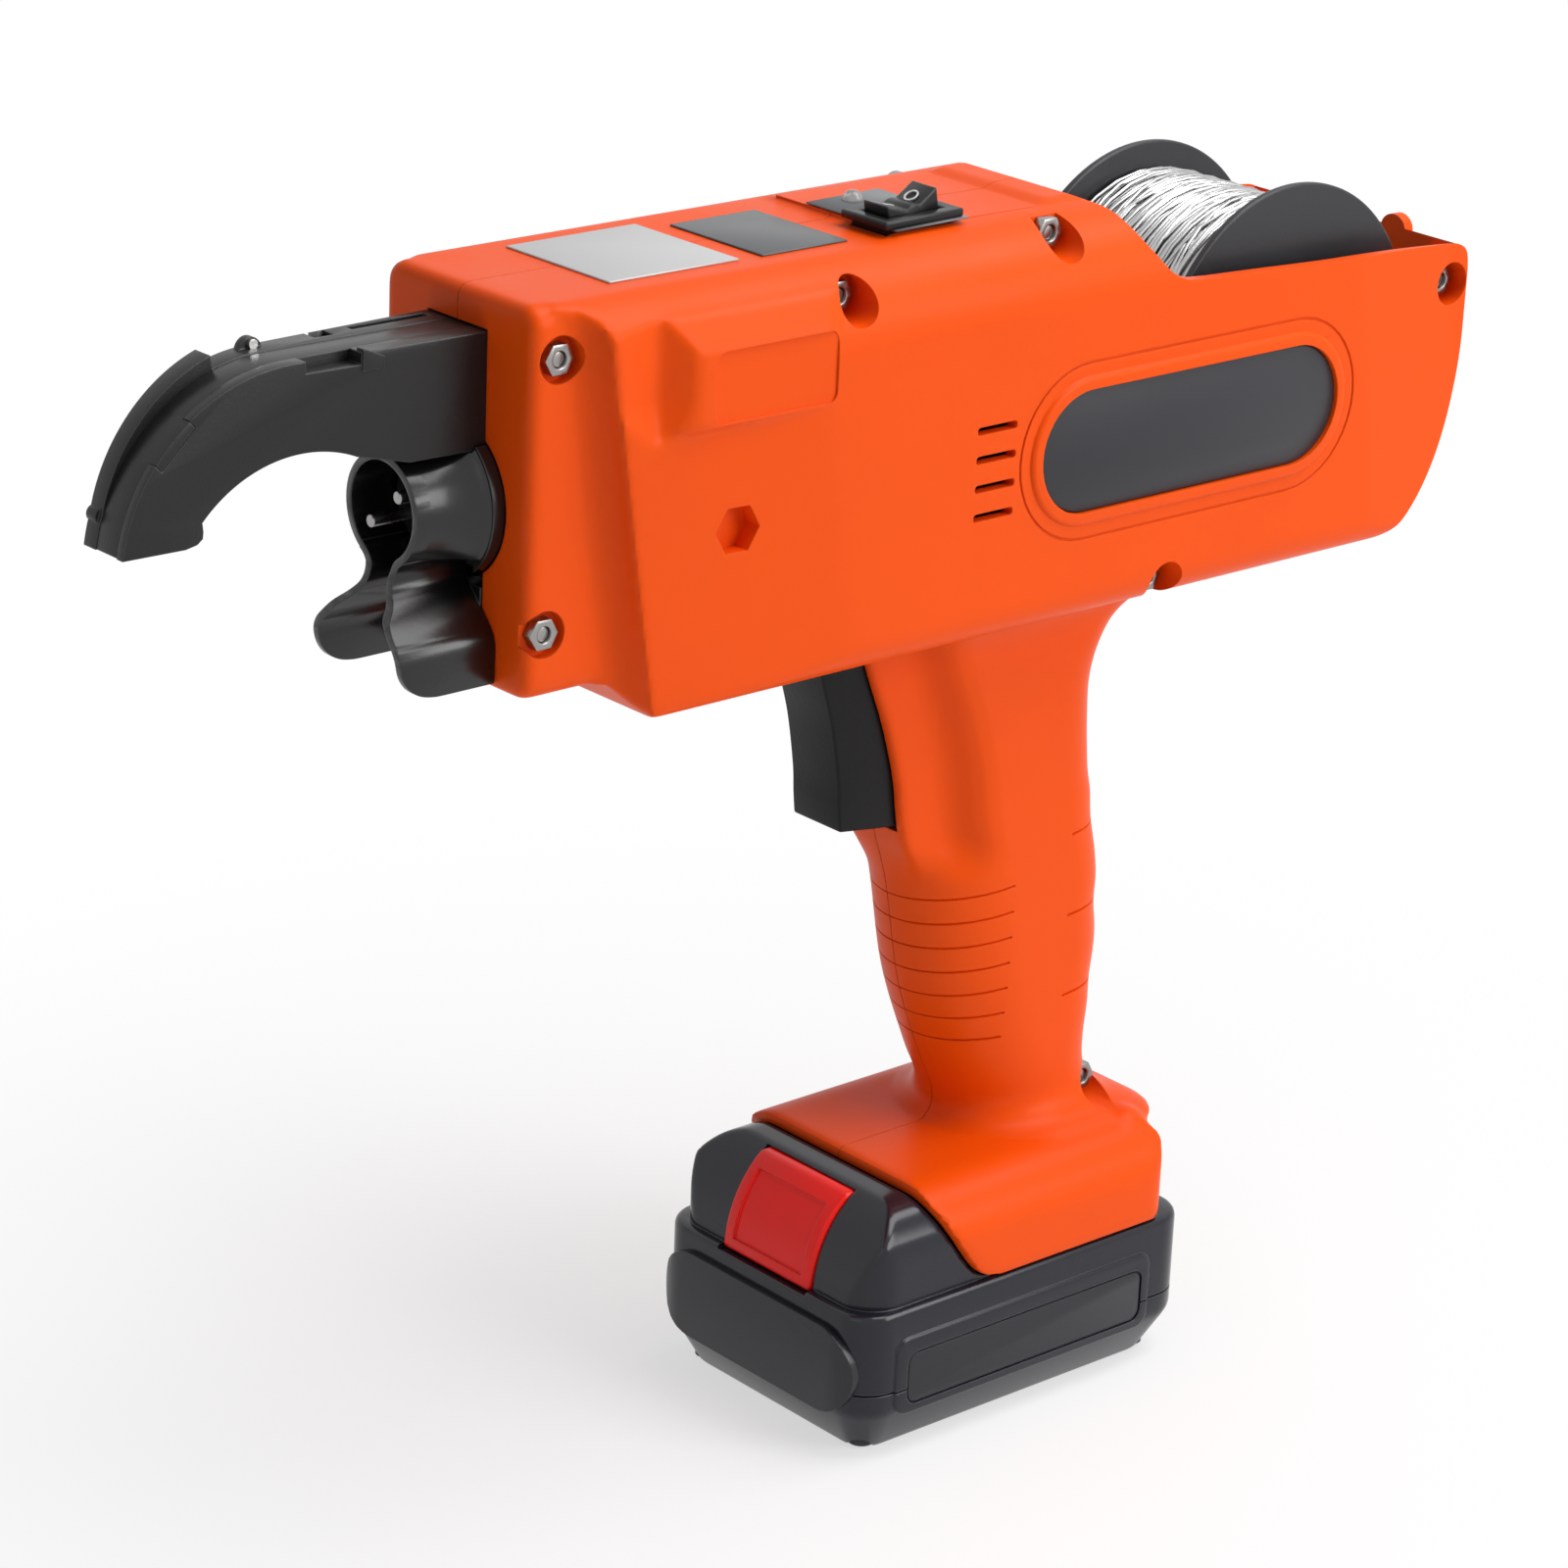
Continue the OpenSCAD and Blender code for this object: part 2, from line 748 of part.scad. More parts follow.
// Grip, drawn in by i: two leaning bars whose overlap tapers
module grip_solid(i) {
    w = grip_half_w - i;
    r = grip_r - i;
    front_r = grip_front_r - i;
    intersection() {
        translate([grip_front_x - i, 0, foot_top_z]) rotate([0, grip_front_lean, 0])
            along_z(-reach, reach) {
                translate([-reach, 0]) square([reach - front_r, w]);
                translate([-reach, 0]) square([reach, w - front_r]);
                translate([-front_r, w - front_r]) circle(front_r);
            }
        translate([grip_rear_x + i, 0, foot_top_z]) rotate([0, grip_rear_lean, 0])
            along_z(-reach, reach) {
                translate([r, 0]) square([reach - r, w]);
                square([reach, w - r]);
                translate([r, w - r]) circle(r);
            }
        box([-reach, 0, foot_top_z - wall], [reach, reach, belly_z + wall]);
    }
}

// Sides cut away in front to leave the lip behind the trigger, drawn in by i
lip_drop = 52;
module lip_cut(i) {
    intersection() {
        translate([grip_front_x - lip_len - i, 0, foot_top_z]) rotate([0, grip_front_lean, 0])
            box([0, lip_half_w - i, -reach], [reach, reach, reach]);
        box([-reach, 0, belly_z - lip_drop - i], [reach, reach, reach]);
    }
}
module grip_form(i) {
    difference() {
        grip_solid(i);
        lip_cut(i);
    }
}

// Web that rounds the grip into the tail
web_w_share = 0.62;
module grip_web() {
    x = grip_rear_x + (belly_z - web_r - foot_top_z) * tan(grip_rear_lean);
    difference() {
        box([x - web_r, 0, belly_z - web_r], [x + wall, grip_half_w * web_w_share, belly_z + wall / 2]);
        bar_y(-over, reach, x - web_r, belly_z - web_r, web_r);
    }
}

// Cross outline of the left half of the foot, drawn in by i
module foot_cross(i) {
    top = foot_top_z - i;
    square([foot_half_w - i, top - foot_r + i]);
    square([foot_half_w - foot_r, top]);
    translate([foot_half_w - foot_r, foot_top_z - foot_r]) circle(foot_r - i);
}

// Left half of the foot, drawn in by i, with its front and underside left open when i is set
module foot_solid(i) {
    ahead = i > 0 ? reach : 0;
    intersection() {
        along_x(-reach, reach) foot_cross(i);
        along_y(0, reach) polygon([
            [foot_front_x + ahead, foot_top_z + ahead], [foot_low_x + ahead, foot_low_z - ahead],
            [foot_rear_x + i + wall, foot_low_z - ahead], [foot_rear_x + i, foot_low_z + foot_r],
            [foot_rear_x + i + foot_r / 2, foot_top_z]
        ]);
        box([-reach, 0, 0], [reach, reach, reach]);
    }
}

// Rails inside the foot that carry the battery
module foot_ledges() {
    y0 = rail_neck_w + ledge_gap;
    box([rail_back_x, y0, foot_low_z + wall], [foot_low_x, foot_half_w - wall / 2, rail_z - ledge_gap]);
}

// Bosses, ribs and ledges of the left half
module housing_bosses() {
    for (b = bolts) {
        bar_y(b[3], b[2], b[0], b[1], boss_r);
        bar_y(b[2] - pocket_wall, body_half_w, b[0], b[1], pocket_r + pocket_wall);
    }
}
module housing_ribs() {
    for (r = ribs) difference() {
        box([r[0], 0, twist_z - r[3]], [r[0] + r[1], body_half_w, twist_z + r[3]]);
        bar_x(r[0] - over, r[0] + r[1] + over, 0, twist_z, r[2]);
    }
    box([frame_x0, frame_half_w - ledge_in, frame_z - ledge_t],
        [frame_x0 + 2 * ledge_t, body_half_w, frame_z]);
    box([frame_x1 - 2 * ledge_t, frame_nose_w - ledge_in, frame_z - ledge_t],
        [frame_x1, body_half_w, frame_z]);
    for (x = [board_x0, board_x0 + board_len - 2 * ledge_t])
        box([x, board_half_w - ledge_in, board_z - ledge_t], [x + 2 * ledge_t, body_half_w, board_z]);
    bar_y(reel_half_w + gap, body_half_w - wall / 2, reel_x, reel_z, reel_shaft_r + wall);
}
module grip_ribs() {
    x0 = switch_x1 - switch_len;
    box([x0, switch_half_w + touch, switch_z0], [x0 + ledge_t, grip_half_w, switch_z0 + switch_h]);
    box([x0, 0, switch_z0 - ledge_t], [switch_x1, grip_half_w, switch_z0]);
}

// Cuts through the left half
module housing_cuts() {
    for (b = bolts) {
        bar_y(-over, reach, b[0], b[1], bolt_hole_r);
        bar_y(b[2], reach, b[0], b[1], pocket_r);
    }
    for (i = [0:vent_n - 1])
        box([vent_x, body_half_w - 2 * wall, vent_z + i * vent_pitch],
            [vent_x + vent_len, reach, vent_z + i * vent_pitch + vent_h]);
    translate([hex_x, body_half_w - hex_deep, hex_z]) rotate([-90, 0, 0])
        cylinder(h = reach, r = hex_af / sqrt(3), $fn = 6);
    along_y(body_half_w - plate_t, reach) translate([plate_x, plate_z]) stadium(plate_len, plate_h);
    along_y(body_half_w + block_out - label_depth, reach)
        soft_rect(block_x0 + label_inset, block_z0 + label_rise, block_x0 + label_inset + label_len,
                  block_z0 + label_rise + label_h, label_r);
    box([arm_back_x - over, -over, jaw_low_z], [nose_x + over, arm_root_w, arm_top_z + gap]);
    bar_x(nose_x - 2 * wall, nose_x + over, 0, twist_z, flange_r + gap);
    box([trigger_back_x - trigger_travel - 2 * trigger_gap, -over, trigger_low_z - 2 * trigger_gap],
        [trigger_front_x + trigger_sweep + 3 * trigger_gap, trigger_half_w + trigger_gap,
         trigger_top_z + 2 * trigger_gap]);
    bar_y(-over, reel_half_w + 2 * wall, reel_x, reel_z, reel_shaft_r + snug);
    bar_x(rim_x, frame_x0, 0, wire_z, tube_r + touch);
}

// Left half of the shell, closed at the middle plane
module housing_half() {
    difference() {
        union() {
            difference() {
                union() {
                    body_solid(0);
                    feed_block(0);
                    along_y(body_half_w - wall / 2, body_half_w + rim_t) translate([plate_x, plate_z])
                        stadium(plate_len + 2 * rim_w, plate_h + 2 * rim_w);
                    grip_form(0);
                    grip_web();
                    foot_solid(0);
                    box([rear_x, tab_y, rim_z - wall], [rear_x + wall, tab_y + tab_w, rim_z + tab_h]);
                }
                difference() {
                    union() {
                        body_solid(wall);
                        feed_block(wall);
                    }
                    box([-reach, -over, 0], [partition_x + wall, reach, reach]);
                }
                bay_space();
                grip_form(wall);
                foot_solid(wall);
            }
            intersection() {
                union() {
                    housing_bosses();
                    housing_ribs();
                    grip_ribs();
                    foot_ledges();
                }
                union() {
                    body_solid(0);
                    feed_block(0);
                    grip_form(0);
                    foot_solid(0);
                }
            }
        }
        housing_cuts();
        box([-reach, -reach, 0], [reach, 0, reach]);
    }
}

// Cut-out for the switch in the left half
module switch_cut() {
    place_on_deck(rocker_x)
        box([-rocker_len / 2 + rocker_wall, rocker_y - rocker_w / 2 + rocker_wall, -rocker_depth - over],
        [rocker_len / 2 - rocker_wall, rocker_y + rocker_w / 2 - rocker_wall, over + bezel_t]);
}

// Puts children on the sloping deck, with Z off the deck at x
module place_on_deck(x) {
    translate([x, 0, rocker_deck_z + (rocker_x - x) * tan(deck_tilt)]) rotate([0, deck_tilt, 0]) children();
}

// Flat pad under the switch film, out to y1 in a half
module switch_pad(y1) {
    place_on_deck(rocker_x) box([film_x0 - rocker_x, 0, -pad_t], [film_x1 - rocker_x, y1, 0]);
}

module left_housing() {
    color(orange) difference() {
        union() {
            housing_half();
            switch_pad(film_y1);
        }
        switch_cut();
    }
}
module right_housing() {
    color(orange) mirror([0, 1, 0]) {
        housing_half();
        switch_pad(-film_y0);
    }
}

// Bolts and nuts through the two halves
module housing_bolts() {
    color(steel) for (b = bolts) {
        bar_y(-b[2], b[2] + nut_h - bolt_sink, b[0], b[1], bolt_r);
        bar_y(-b[2] - head_h_bolt, -b[2], b[0], b[1], head_r_bolt);
    }
}
module housing_nuts() {
    color(steel) for (b = bolts) difference() {
        translate([b[0], b[2], b[1]]) rotate([-90, 0, 0]) cylinder(h = nut_h, r = nut_af / sqrt(3), $fn = 6);
        bar_y(b[2] - over, b[2] + nut_h + over, b[0], b[1], bolt_r + snug);
    }
}

// Plates
module name_plate() {
    along_y(body_half_w - plate_t, body_half_w) translate([plate_x, plate_z])
        stadium(plate_len - 2 * touch, plate_h - 2 * touch);
}
module left_name_plate() {
    color(charcoal) name_plate();
}
module right_name_plate() {
    color(charcoal) mirror([0, 1, 0]) name_plate();
}
module silver_plate() {
    color(silver) box([silver_x0, -silver_half_w, deck_z], [silver_x1, silver_half_w, deck_z + top_plate_t]);
}
module dark_plate() {
    color(charcoal) box([dark_x0, dark_y0, deck_z], [dark_x1, dark_y1, deck_z + top_plate_t]);
}

// Switch group on the sloping deck
module switch_film() {
    color(film_grey) place_on_deck(rocker_x) difference() {
        box([film_x0 - rocker_x, film_y0, 0], [film_x1 - rocker_x, film_y1, film_t]);
        box([-rocker_len / 2 + rocker_wall, rocker_y - rocker_w / 2 + rocker_wall, -over],
            [rocker_len / 2 - rocker_wall, rocker_y + rocker_w / 2 - rocker_wall, film_t + over]);
    }
}
module rocker_bezel() {
    inner_len = rocker_len / 2 - 2 * rocker_wall;
    inner_w = rocker_w / 2 - 2 * rocker_wall;
    color(black) place_on_deck(rocker_x) translate([0, rocker_y, 0]) difference() {
        union() {
            box([-rocker_len / 2, -rocker_w / 2, film_t], [rocker_len / 2, rocker_w / 2, film_t + bezel_t]);
            box([-rocker_len / 2 + rocker_wall + touch, -rocker_w / 2 + rocker_wall + touch, -rocker_depth],
                [rocker_len / 2 - rocker_wall - touch, rocker_w / 2 - rocker_wall - touch, film_t]);
        }
        box([-inner_len, -inner_w, -rocker_depth / 2], [inner_len, inner_w, film_t + bezel_t + over]);
    }
}
module rocker_button() {
    half_len = rocker_len / 2 - 2 * rocker_wall - 3 * gap;
    half_w = rocker_w / 2 - 2 * rocker_wall - gap;
    hub = rocker_depth / 4;
    color(black) place_on_deck(rocker_x) translate([0, rocker_y, film_t]) rotate([0, rocker_tilt, 0])
        along_y(-half_w, half_w) {
            polygon([[-half_len, 0], [half_len, 0], [half_len, rocker_h + bezel_t], [0, bezel_t + gap],
                     [-half_len, rocker_h + bezel_t]]);
            circle(hub);
        }
}
module indicator_lamp() {
    color(red) place_on_deck(lamp_x) translate([0, lamp_y, film_t]) intersection() {
        sphere(lamp_r);
        box([-lamp_r, -lamp_r, 0], [lamp_r, lamp_r, lamp_r]);
    }
}

// Curl guide arm

// Side outline of the arm, drawn in by i from its edges
arm_in_start = 114;
module arm_side(i) {
    out_z = arm_top_z - arm_out_r;
    in_z = arm_in_top_z - arm_in_r;
    tip_a = asin((arm_tip_z + i - out_z) / (arm_out_r - i));
    in_a = asin((arm_tip_z + wall - in_z) / (arm_in_r + i));
    back_z = twist_z + flange_r + gap;
    polygon(concat(
        [[arm_back_x, arm_top_z - i], [arm_back_x, back_z], [cup_back_x, back_z],
         [cup_back_x, arm_low_z + i], [cup_x, arm_low_z + i]],
        arc(arm_in_x, in_z, arm_in_r + i, arm_in_r + i, arm_in_start, in_a),
        [[arm_in_x + (arm_in_r + i) * cos(in_a) + wall, arm_tip_z + i]],
        arc(arm_out_x, out_z, arm_out_r - i, arm_out_r - i, tip_a, 90)
    ));
}

// Wedge that narrows the arm to its tip, from y0 to the outer face
module arm_wedge(y0) {
    tip_x = arm_out_x + arm_out_r;
    along_z(0, reach) polygon([
        [arm_back_x - over, y0], [tip_x + over, y0], [tip_x + over, arm_tip_w],
        [nose_x, arm_root_w], [arm_back_x - over, arm_root_w]
    ]);
}

// Holes of the clamping bolt and the blind guide pins
module arm_cuts() {
    bar_y(-reach, reach, bolts[0][0], bolts[0][1], bolt_hole_r);
    for (p = guide_pins_at) bar_y(-pin_half - touch, pin_half + touch, p[0], p[1], guide_pin_r + snug / 2);
}
// Notches in the outer edge and the top edge of the left plate
notch_angle = 45;
notch_half = 4.8;
notch_d = 2.1;
notch_x = 151.3;
notch_len = 11.3;
module plate_notches() {
    translate([arm_out_x, 0, arm_top_z - arm_out_r]) rotate([0, -notch_angle, 0])
        box([arm_out_r - notch_d, 0, -notch_half], [reach, reach, notch_half]);
    box([notch_x, 0, arm_top_z - notch_d], [notch_x + notch_len, reach, reach]);
}
// Flange that stands proud round the right plate's bend
bend_rise = 4;
bend_ahead = 0.5;
bend_r = 32.8;
bend_low = 9;
bend_high = 72;
module bend_flange() {
    out_z = arm_top_z - arm_out_r;
    in_r = arm_out_r - wall;
    polygon(concat(
        arc(arm_out_x + bend_ahead, out_z + bend_rise, bend_r, bend_r, bend_low, bend_high),
        arc(arm_out_x, out_z, in_r, in_r, bend_high, bend_low)
    ));
}
// Narrow slot along the right plate's top
top_slot_y = 5.2;
top_slot_w = 2;
top_slot_d = 3;
module top_slot() {
    box([nose_x + top_slot_w, -top_slot_y - top_slot_w, arm_top_z - top_slot_d],
        [cup_x + top_slot_d, -top_slot_y, reach]);
}
module guide_left_plate() {
    color(black) difference() {
        intersection() {
            along_y(0, reach) arm_side(0);
            arm_wedge(core_w);
        }
        arm_cuts();
        plate_notches();
    }
}
module guide_right_plate() {
    color(black) difference() {
        intersection() {
            along_y(-reach, 0) {
                arm_side(0);
                bend_flange();
            }
            mirror([0, 1, 0]) arm_wedge(liner_w);
        }
        arm_cuts();
        top_slot();
    }
}
module guide_liner() {
    color(charcoal) difference() {
        along_y(-liner_w, core_w) arm_side(liner_w / 4);
        arm_cuts();
        wire_path();
    }
}
// Bore that bends the wire round to the arm's tip
module wire_path() {
    path_r = wire_z - arm_top_z + arm_out_r;
    bar_x(arm_back_x - over, arm_out_x, 0, wire_z, wire_bore_r);
    intersection() {
        translate([arm_out_x, 0, wire_z - path_r]) rotate([90, 0, 0])
            rotate_extrude() translate([path_r, 0]) circle(wire_bore_r);
        box([arm_out_x, -reach, 0], [reach, reach, reach]);
    }
}
module guide_pins() {
    color(steel) for (p = guide_pins_at) bar_y(-pin_half, pin_half, p[0], p[1], guide_pin_r);
}

// Wire cup with its two flared legs
pinch_drop_share = 1.154;
pinch_r = 5.4;
pinch_start = 115;
pinch_end = 225;
slot_half = 2.6;
cup_open = 5.2;
leg_t = 1.5;
toe_share = 0.72;
toe_shares = [[0.4, 0.5], [0.9, 0.58], [1, 0.74], [0.92, 0.82], [0.7, 0.9], [0.25, 0.96], [-0.2, 1]];
module mouth_leg() {
    y = slot_half + pinch_r;
    z = -cup_r * pinch_drop_share;
    out_r = pinch_r - leg_t;
    toe_z = -mouth_drop * toe_share;
    polygon(concat(
        arc(y, z, pinch_r, pinch_r, pinch_start, pinch_end),
        [[mouth_spread - leg_t, toe_z - leg_t / 2], [mouth_spread - leg_t, -mouth_drop],
         [mouth_spread, -mouth_drop], [mouth_spread, toe_z]],
        arc(y, z, out_r, out_r, pinch_end, pinch_start)
    ));
}
module mouth_side() {
    polygon(concat(
        [[arm_back_x, cup_r + over], [cup_x, cup_r + over], [cup_x, -cup_r]],
        [for (q = toe_shares) [cup_x + toe_len * q[0], -mouth_drop * q[1]]],
        [[arm_back_x, -mouth_drop]]
    ));
}
module wire_mouth() {
    block_top = -flange_r - gap;
    color(black) translate([0, 0, twist_z]) difference() {
        union() {
            intersection() {
                union() {
                    along_x(cup_back_x, cup_x + toe_len) difference() {
                        circle(cup_r);
                        circle(cup_r - cup_wall);
                        translate([-cup_open, -reach]) square([2 * cup_open, reach]);
                    }
                    for (s = [0, 1]) mirror([0, s, 0]) along_x(nose_x + gap, cup_x + toe_len) mouth_leg();
                }
                along_y(-reach, reach) mouth_side();
                along_x(-reach, reach)
                    translate([-reach, -reach]) square([2 * reach, reach + arm_low_z - twist_z]);
            }
            for (s = [0, 1]) mirror([0, s, 0])
                box([arm_back_x + wall, slot_half, -mouth_drop], [nose_x + wall, arm_root_w, block_top]);
        }
        bar_y(-reach, reach, bolts[1][0], bolts[1][1] - twist_z, bolt_hole_r);
    }
}
module barrel_flange() {
    ear_x = nose_x + flange_ear;
    color(black) difference() {
        bar_x(arm_back_x, ear_x, 0, twist_z, flange_r);
        bar_x(arm_back_x - over, arm_back_x + flange_tube, 0, twist_z, bearing_r + snug);
        bar_x(arm_back_x - over, ear_x + over, 0, twist_z, bearing_r - wall / 2);
        bar_x(arm_back_x + flange_tube, ear_x + over, 0, twist_z, cup_r + gap / 2);
        box([arm_back_x + flange_tube, -arm_root_w - gap, arm_low_z - gap],
            [ear_x + over, arm_root_w + gap, reach]);
        box([arm_back_x + flange_tube, -arm_root_w - gap, 0],
            [ear_x + over, arm_root_w + gap, twist_z - cup_r + 2 * cup_wall]);
    }
}

// Twist head, shaft and bearings
module twist_head() {
    color(charcoal) difference() {
        bar_x(head_x, head_x + head_len, 0, twist_z, head_r);
        bar_x(head_x - over, head_x + head_len / 2, 0, twist_z, shaft_r + snug / 2);
        for (s = [0, 180]) translate([0, 0, twist_z]) rotate([head_pin_angle + s, 0, 0])
            bar_x(head_x + head_len / 2, head_x + head_len + over, head_pin_orbit, 0, head_pin_r + snug / 2);
    }
}
module twist_pins() {
    color(steel) for (s = [0, 180]) translate([0, 0, twist_z]) rotate([head_pin_angle + s, 0, 0])
        bar_x(head_x + head_len / 2, head_x + head_len + head_pin_len, head_pin_orbit, 0, head_pin_r);
}
module twist_shaft() {
    color(steel) bar_x(carrier_x + carrier_t / 2, head_x + head_len / 2, 0, twist_z, shaft_r);
}
module bearing(x) {
    color(steel) difference() {
        bar_x(x, x + bearing_w, 0, twist_z, bearing_r);
        bar_x(x - over, x + bearing_w + over, 0, twist_z, bearing_bore_r);
    }
}
module front_bearing() {
    bearing(arm_back_x);
}
module rear_bearing() {
    bearing(rear_bearing_x);
}

// Planetary stage
module planet_carrier() {
    color(steel) difference() {
        union() {
            bar_x(carrier_x, carrier_x + carrier_t, 0, twist_z, carrier_r);
            for (k = [0:2]) translate([0, 0, twist_z]) rotate([120 * k, 0, 0])
                bar_x(planet_x - gap, carrier_x + over, orbit_r, 0, planet_pin_r);
        }
        bar_x(carrier_x + carrier_t / 2, carrier_x + carrier_t + over, 0, twist_z, shaft_r + snug / 2);
    }
}
module planet_gear(k) {
    color(brass) translate([0, 0, twist_z]) rotate([120 * k, 0, 0]) translate([0, orbit_r, 0]) difference() {
        along_x(planet_x, planet_x + planet_w) rotate(180 / planet_n) gear_outline(planet_n, gear_module);
        bar_x(planet_x - over, planet_x + planet_w + over, 0, 0, planet_pin_r + snug);
    }
}
module planet_gear_1() {
    planet_gear(0);
}
module planet_gear_2() {
    planet_gear(1);
}
module planet_gear_3() {
    planet_gear(2);
}

// Inner teeth of the ring gear stand where the planets' gaps are
ring_tip_half_share = 0.28;
ring_root_half_share = 0.80;
module ring_space() {
    rp = ring_n * gear_module / 2;
    tip = rp - gear_module * gear_mesh_share;
    root = rp + gear_module;
    polygon([for (i = [0:ring_n - 1]) each [
        for (q = [[root, -ring_root_half_share], [tip, -ring_tip_half_share],
                  [tip, ring_tip_half_share], [root, ring_root_half_share]])
        let (a = 360 * i / ring_n, w = q[1] * gear_module)
        [q[0] * cos(a) - w * sin(a), q[0] * sin(a) + w * cos(a)]
    ]]);
}
module ring_gear() {
    color(steel) difference() {
        bar_x(ring_back_x, ring_front_x, 0, twist_z, ring_case_r);
        bar_x(ring_back_x - over, ring_front_x, 0, twist_z, ring_hole_r);
        translate([0, 0, twist_z]) along_x(ring_back_x + ring_plate_t, ring_front_x + over) ring_space();
    }
}
module sun_gear() {
    color(steel) translate([0, 0, twist_z]) difference() {
        along_x(planet_x, planet_x + planet_w) gear_outline(sun_n, gear_module);
        bar_x(planet_x - over, planet_x + planet_w + over, 0, 0, motor_shaft_r + snug / 2);
    }
}
module motor_shaft() {
    color(steel) bar_x(ring_back_x - motor_shaft_grip, planet_x + planet_w, 0, twist_z, motor_shaft_r);
}
module twist_motor() {
    color(charcoal) difference() {
        union() {
            bar_x(ring_back_x - motor_len, ring_back_x, 0, twist_z, motor_r);
            bar_x(ring_back_x - over, ring_back_x + motor_boss_len, 0, twist_z, motor_boss_r);
        }
        bar_x(ring_back_x - motor_shaft_grip, ring_back_x + reach, 0, twist_z, motor_shaft_r + snug);
    }
}

// Wire feed
module feed_frame() {
    z1 = frame_z + frame_t;
    color(steel) difference() {
        union() {
            box([frame_x0, -frame_half_w, frame_z], [feed_x + post_half_w, frame_half_w, z1]);
            box([feed_x, -frame_nose_w, frame_z], [frame_x1, frame_nose_w, z1]);
            box([frame_x0, -post_half_w, z1 - over], [frame_x0 + post_t, post_half_w, wire_z + 2 * tube_r]);
            box([frame_x1 - post_t / 2, -post_half_w, z1 - over],
                [frame_x1, post_half_w, wire_z + 2 * tube_r]);
            box([feed_x - post_half_w, -frame_half_w, z1 - over],
                [feed_x + post_half_w, -frame_half_w + spring_tab_t, gear_z0 - lever_lift]);
        }
        bar_x(frame_x0 - over, frame_x0 + post_t + over, 0, wire_z, tube_r + snug);
        bar_x(frame_x1 - post_t, frame_x1 + over, 0, wire_z, wire_bore_r);
        bar_z(frame_z - over, z1 + over, pinion_x, pinion_y, pinion_r / 2);
        bar_z(frame_z - over, z1 + over, feed_x, feed_y, feed_axle_r + snug / 2);
        bar_z(frame_z - over, z1 + over, lever_x, -feed_y, feed_axle_r + snug / 2);
    }
}
pinion_shaft_r = 1;
module feed_motor() {
    color(charcoal) difference() {
        bar_z(frame_z - feed_motor_len, frame_z, pinion_x, pinion_y, feed_motor_r);
        bar_z(frame_z - feed_motor_len / 2, frame_z + over, pinion_x, pinion_y, pinion_shaft_r + snug);
    }
}
pinion_turn = atan2(feed_y - pinion_y, feed_x - pinion_x);
module feed_pinion() {
    color(brass) {
        bar_z(frame_z - feed_motor_len / 2, gear_z0 + over, pinion_x, pinion_y, pinion_shaft_r);
        translate([pinion_x, pinion_y, 0]) along_z(gear_z0, gear_z0 + feed_gear_h)
            rotate(pinion_turn + 180 / pinion_n) gear_outline(pinion_n, feed_module);
    }
}
// Toothed feed wheel with a wire groove round its middle
module feed_wheel() {
    tip = feed_r + feed_module;
    difference() {
        along_z(gear_z0, gear_z0 + feed_gear_h) children();
        bar_z(gear_z0 - over, gear_z0 + feed_gear_h + over, 0, 0, feed_axle_r + snug);
        translate([0, 0, wire_z]) rotate_extrude() polygon([
            [feed_r - groove_d, 0], [tip, -groove_d], [tip, groove_d]
        ]);
    }
}
drive_turn = pinion_turn + 180;
module drive_gear() {
    color(brass) translate([feed_x, feed_y, 0]) feed_wheel()
        rotate(drive_turn) gear_outline(feed_n, feed_module);
}
// The driven gear faces the drive gear with a gap where that has a tooth
driven_turn = 180 - drive_turn + 180 / feed_n;
module driven_gear() {
    color(brass) translate([feed_x, -feed_y, 0]) feed_wheel()
        rotate(driven_turn) gear_outline(feed_n, feed_module);
}
module drive_axle() {
    z1 = frame_z + frame_t;
    color(steel) {
        bar_z(frame_z, gear_z0 + feed_gear_h + over, feed_x, feed_y, feed_axle_r);
        bar_z(z1, gear_z0 - touch, feed_x, feed_y, axle_collar_r);
    }
}
module pressure_lever() {
    z0 = frame_z + frame_t + lever_lift;
    color(steel) difference() {
        union() {
            box([lever_x, -feed_y - lever_w / 2, z0], [feed_x, -feed_y + lever_w / 2, z0 + lever_t]);
            for (x = [lever_x, feed_x]) bar_z(z0, z0 + lever_t, x, -feed_y, lever_w / 2);
            bar_z(z0, gear_z0 + feed_gear_h + over, feed_x, -feed_y, feed_axle_r);
            bar_z(z0, gear_z0 - touch, feed_x, -feed_y, axle_collar_r);
        }
        bar_z(z0 - over, z0 + lever_t + over, lever_x, -feed_y, feed_axle_r + snug);
    }
}
module lever_pin() {
    z0 = frame_z + frame_t;
    color(steel) {
        bar_z(frame_z, z0 + lever_lift + lever_t + over, lever_x, -feed_y, feed_axle_r);
        bar_z(z0, z0 + lever_lift - touch, lever_x, -feed_y, axle_collar_r);
    }
}
module lever_spring() {
    y0 = -frame_half_w + spring_tab_t;
    color(steel) translate([feed_x, y0, frame_z + frame_t + lever_lift + lever_t / 2]) rotate([0, 0, 90])
        coil_spring(frame_half_w - spring_tab_t - feed_y - lever_w / 2, lever_spring_r, spring_wire_r);
}
module inlet_tube() {
    color(steel) difference() {
        bar_x(tube_x0, tube_x1, 0, wire_z, tube_r);
        bar_x(tube_x0 - over, tube_x1 + over, 0, wire_z, wire_bore_r);
    }
}

